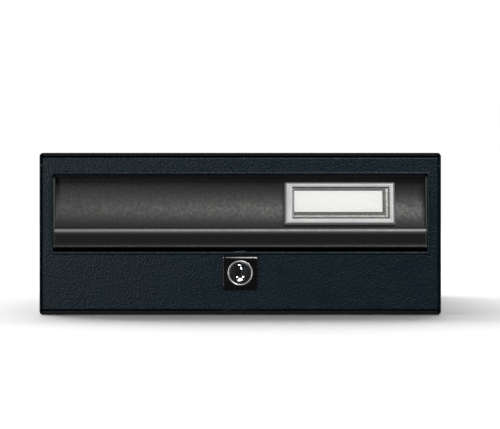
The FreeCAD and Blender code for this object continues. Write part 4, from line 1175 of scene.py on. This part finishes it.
# ------------------------------------------------------------------ lock
@dataclass
class Lock:
    """The cam lock: square plate, ring, dished plug and cam.

    Attributes:
        slope: How steep the plate's upper border gets, in degrees.
        dish_lip: How far the dish's edge is softened.
        face_soft: How far the face's rim is softened, inwards and back.
        neck: Step from the face's back to the plug, below the rim and at the plug.
        rib_lean: Slope of the ribs' tops to the right and up, in degrees.
        ribs_mm: The ribs' outlines.
    """

    shop: Workshop
    axis_z: float = 28.2 * MM
    front_y: float = -186.6 * MM
    plate_half: float = 11.65 * MM
    plate_rise: float = 0.6 * MM
    plate_thickness: float = 1.5 * MM
    plate_corner: float = 2.2 * MM
    least_corner: float = 0.5 * MM
    slope_width: float = 2.9 * MM
    slope: float = 42.0
    side_round: float = 0.35 * MM
    seat_radius: float = 8.55 * MM
    body_radius: float = 8.05 * MM
    face_radius: float = 7.34 * MM
    face_level: float = 1.6 * MM
    face_soft: tuple[float, float] = (0.25 * MM, 0.15 * MM)
    neck: tuple[float, float] = (0.15 * MM, 0.1 * MM)
    plug_radius: float = 5.98 * MM
    key_half: tuple[float, float] = (0.75 * MM, 4.4 * MM)
    dish_outer: tuple[float, float] = (2.9 * MM, 5.9 * MM)
    dish_inner: tuple[float, float] = (1.3 * MM, 4.5 * MM)
    dish_depth: float = 0.6 * MM
    dish_lip: float = 0.05 * MM
    key_depth: float = 13.0 * MM
    shoulder: float = 17.2 * MM
    shank_end: float = 19.4 * MM
    shank_half: float = 3.0 * MM
    shank_corner: float = 0.3 * MM
    rib_low: float = 0.95 * MM
    rib_foot: float = 0.3 * MM
    rib_lean: tuple[float, float] = (6.0, 18.0)
    ribs_mm: tuple[tuple[tuple[float, float], ...], ...] = (
        ((-1.5, 5.1), (1.5, 5.1), (1.5, 6.2), (-1.5, 6.2)),
        ((0.2, 2.7), (1.3, 2.4), (1.1, 3.7), (0.1, 4.0)),
        ((-2.3, -3.3), (-1.5, -3.0), (-2.5, -1.1), (-3.3, -1.5)),
        ((1.4, -2.9), (2.2, -3.2), (3.1, -1.5), (2.4, -1.2)),
        ((-1.9, -5.1), (1.9, -5.1), (0.8, -3.6), (-0.8, -3.6)))

    nodes: tuple[str, ...] = ("lock_barrel", "lock_nut", "lock_wafers", "lock_cam",
                              "cam_washer", "cam_screw")

    def plane(self) -> Plane:
        """Return the door's front at the lock's axis."""
        return Plane.facing_front(0, self.front_y, self.axis_z)

    def disc(self, radius: float, level: float) -> list[Vector]:
        """Return a round ring at a level over the door."""
        return self.plane().ring(circle(radius), level)

    def oval(self, half: tuple[float, float], level: float) -> list[Vector]:
        """Return a ring with half-round ends, of these half sizes, at a level."""
        return self.plane().ring(rounded(*half, min(half) * 0.98), level)

    def square(self, down: float, inset: float, level: float,
               fall: float = 0.0) -> list[Vector]:
        """Outline the plate, with a top side that eases back into its slope.

        Args:
            down: How far the top side comes down.
            inset: How far every side comes in.
            level: Height over the door.
            fall: How far the top side drops back.

        Returns:
            The ring.
        """
        outline = rounded(self.plate_half - inset, self.plate_half - inset - down / 2,
                          max(self.plate_corner - inset, self.least_corner))
        top = max(point.y for point in outline)
        for point in outline:
            point.z -= fall * max(0.0, 1 - (top - point.y) / self.plate_corner)
        return self.plane().ring(outline, level, (0.0, self.plate_rise - down / 2))

    def plate_mesh(self) -> bpy.types.Mesh:
        """Build the square plate, whose upper border slopes back in a shallow curve.

        Returns:
            The closed mesh.
        """
        high, soft = self.plate_thickness, self.side_round
        bend = self.slope_width / math.sin(math.radians(self.slope))
        rings = [self.disc(self.body_radius, 0), self.disc(self.body_radius, high / 2),
                 self.disc(self.seat_radius, high / 2), self.disc(self.seat_radius, high)]
        fall = 0.0
        for step in range(9):
            angle = math.radians(self.slope) * step / 8
            fall = bend * (1 - math.cos(angle))
            down = self.slope_width - bend * math.sin(angle)
            rings.append(self.square(down, soft, high, fall))
        rings += [self.square(0, soft * (1 - math.sin(turn)),
                              high - soft * (1 - math.cos(turn)), fall)
                  for turn in (0.4, 0.8, 1.2, math.pi / 2)]
        rings += [self.square(0, 0, 0)]
        return loft("lock_square_plate", rings, joined=True, smooth=45)

    def plug_mesh(self) -> bpy.types.Mesh:
        """Build the plug, with a dished face round the keyway and a square shank.

        Returns:
            The closed mesh.
        """
        face, floor = self.face_level, self.face_level - self.dish_depth
        edge = tuple(half + 2 * self.dish_lip for half in self.dish_outer)
        shank = rounded(self.shank_half, self.shank_half, self.shank_corner)
        rings = [self.oval(self.key_half, -self.key_depth), self.oval(self.key_half, floor),
                 self.oval(self.dish_inner, floor),
                 self.oval(self.dish_outer, face - self.dish_lip), self.oval(edge, face),
                 self.disc(self.face_radius - self.face_soft[0], face),
                 self.disc(self.face_radius, face - self.face_soft[1]),
                 self.disc(self.face_radius, self.neck[0]),
                 self.disc(self.plug_radius, self.neck[1]),
                 self.disc(self.plug_radius, -self.shoulder),
                 self.plane().ring(shank, -self.shoulder),
                 self.plane().ring(shank, -self.shank_end)]
        return loft("lock_dished_plug", rings, smooth=14)

    def rib_mesh(self) -> bpy.types.Mesh:
        """Build the cast ribs that lead a key to the keyway, with polished sloping tops.

        Returns:
            One mesh of closed wedges.
        """
        right, up = (math.tan(math.radians(angle)) for angle in self.rib_lean)
        frame = self.plane().frame
        shape = bmesh.new()
        for outline in self.ribs_mm:
            leans = [u * right + v * up for u, v in outline]
            tops = [self.rib_low + (max(leans) - lean) * MM for lean in leans]
            feet = [self.rib_low - self.rib_foot] * len(outline)
            skin(shape, [[frame @ Vector((u * MM, v * MM, level))
                          for (u, v), level in zip(outline, levels)]
                         for levels in (feet, tops)])
        return closed("plug_guide_ribs", shape)

    def build(self) -> None:
        """Build the plate and the plug, and dress the rest of the lock."""
        self.shop.dress(self.nodes)
        self.shop.put("lock_square_plate", self.plate_mesh(), "door", "gloss_black",
                      ["lock_escutcheon"])
        self.shop.put("lock_dished_plug", self.plug_mesh(), "lock_plug", "plug_metal",
                      ["lock_plug"])
        self.shop.put("plug_guide_ribs", self.rib_mesh(), "lock_plug", "lock_chrome")


# ------------------------------------------------------------------ stage
@dataclass
class Studio:
    """A pale floor, soft lights and the camera.

    Attributes:
        aim: The point that the lamps face.
        dark: What the lamps leave unlit.
    """

    floor_half: float = 12.0
    camera_x: float = 0.00656
    camera_z: float = 0.0675
    camera_back: float = 1.401
    front_y: float = -0.1866
    view_width: float = 0.33625
    sensor_mm: float = 36.0
    aim: tuple[float, float, float] = (0.0, -0.18, 0.06)
    dark: bpy.types.Collection = field(init=False)

    def floor(self) -> None:
        """Lay the pale floor under the cabinet, which only the far lights reach."""
        mesh = bpy.data.meshes.new("floor")
        shape = bmesh.new()
        bmesh.ops.create_grid(shape, x_segments=4, y_segments=4, size=self.floor_half)
        shape.to_mesh(mesh)
        shape.free()
        piece = link("floor", mesh)
        material = blank("matt_white_board")
        tree = material.node_tree
        place = add(tree, "ShaderNodeTexCoord").outputs["Object"]
        cloud = add(tree, "ShaderNodeTexNoise", {"Vector": place, "Scale": 3.0})
        tone = add(tree, "ShaderNodeMix",
                   {0: cloud, 6: linear("#fdfdfd"), 7: linear("#fbfbfb")},
                   data_type="RGBA")
        shader = add(tree, "ShaderNodeBsdfPrincipled",
                     {"Base Color": tone, "Roughness": 0.95, "Specular IOR Level": 0.0})
        add(tree, "ShaderNodeOutputMaterial", {"Surface": shader})
        mesh.materials.append(material)
        piece.visible_glossy = False
        piece.visible_diffuse = False
        self.dark = bpy.data.collections.new("unlit_by_lamps")
        self.dark.objects.link(piece)
        for entry in self.dark.collection_objects:
            entry.light_linking.link_state = "EXCLUDE"

    def lamp(self, name: str, place: Sequence[float], size: tuple[float, float],
             power: float) -> None:
        """Add one rectangular soft light.

        Args:
            name: The light's name.
            place: Where it stands.
            size: Its width and height.
            power: Its power in watts.
        """
        light = bpy.data.lights.new(name, "AREA")
        light.shape = "RECTANGLE"
        light.size, light.size_y = size
        light.energy = power
        lamp = link(name, light)
        lamp.light_linking.receiver_collection = self.dark
        lamp.location = place
        towards = Vector(self.aim) - Vector(place)
        lamp.rotation_euler = towards.to_track_quat("-Z", "Y").to_euler()

    def sun(self, name: str, source: Sequence[float], strength: float,
            spread: float, mirrored: bool = True) -> None:
        """Add one far light.

        Args:
            name: The light's name.
            source: The direction that its light comes from.
            strength: Its irradiance.
            spread: The width of its disc in degrees, which softens its shadows.
            mirrored: Whether glossy surfaces reflect it.
        """
        light = bpy.data.lights.new(name, "SUN")
        light.energy = strength
        light.angle = math.radians(spread)
        lamp = link(name, light)
        lamp.visible_glossy = mirrored
        lamp.rotation_euler = (-Vector(source)).to_track_quat("-Z", "Y").to_euler()

    def lights(self) -> None:
        """Hang the soft lights, and set the pale room round them."""
        self.lamp("key_above", place=(0.5, -1.75, 1.2), size=(1.1, 0.55), power=32)
        self.lamp("left_strip", place=(-0.6, -1.75, 0.12), size=(0.3, 0.4), power=5)
        self.sun("back_sky", source=(-0.22, 1.0, 0.6), strength=4.6, spread=60,
                 mirrored=False)
        self.sun("left_wall", source=(-1.0, 0.1, 0.35), strength=1.3, spread=80)
        self.sun("right_wall", source=(1.0, 0.3, 0.35), strength=0.9, spread=80)
        self.sun("rear_wall", source=(0.2, 1.0, 0.2), strength=1.2, spread=80)
        world = bpy.data.worlds.new("room")
        bpy.context.scene.world = world
        world.use_nodes = True
        tree = world.node_tree
        tree.nodes.clear()
        seen_directly = add(tree, "ShaderNodeLightPath").outputs["Is Camera Ray"]
        lit, seen = (add(tree, "ShaderNodeBackground",
                         {"Color": linear("#ffffff"), "Strength": strength})
                     for strength in (0.08, 1.0))
        mixed = add(tree, "ShaderNodeMixShader", {0: seen_directly, 1: lit, 2: seen})
        add(tree, "ShaderNodeOutputWorld", {"Surface": mixed})

    def camera(self) -> None:
        """Set the camera level in front of the door, far back."""
        lens = bpy.data.cameras.new("camera")
        lens.sensor_width = self.sensor_mm
        lens.lens = self.sensor_mm * self.camera_back / self.view_width
        eye = link("camera", lens)
        eye.location = (self.camera_x, self.front_y - self.camera_back, self.camera_z)
        eye.rotation_euler = (math.radians(90), 0, 0)
        bpy.context.scene.camera = eye
        bpy.context.scene.view_settings.view_transform = "Standard"

    def build(self) -> None:
        """Build the whole stage."""
        self.floor()
        self.lights()
        self.camera()


def main() -> None:
    """Load the frame, build and dress every sub-assembly, and set the stage."""
    logging.basicConfig(level=logging.INFO, format="%(name)s: %(message)s")
    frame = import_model()
    shop = Workshop(frame["nodes"])
    for part in (Cabinet, Door, Flap, Lock):
        part(shop).build()
    Studio().build()


if __name__ == "__main__":
    main()
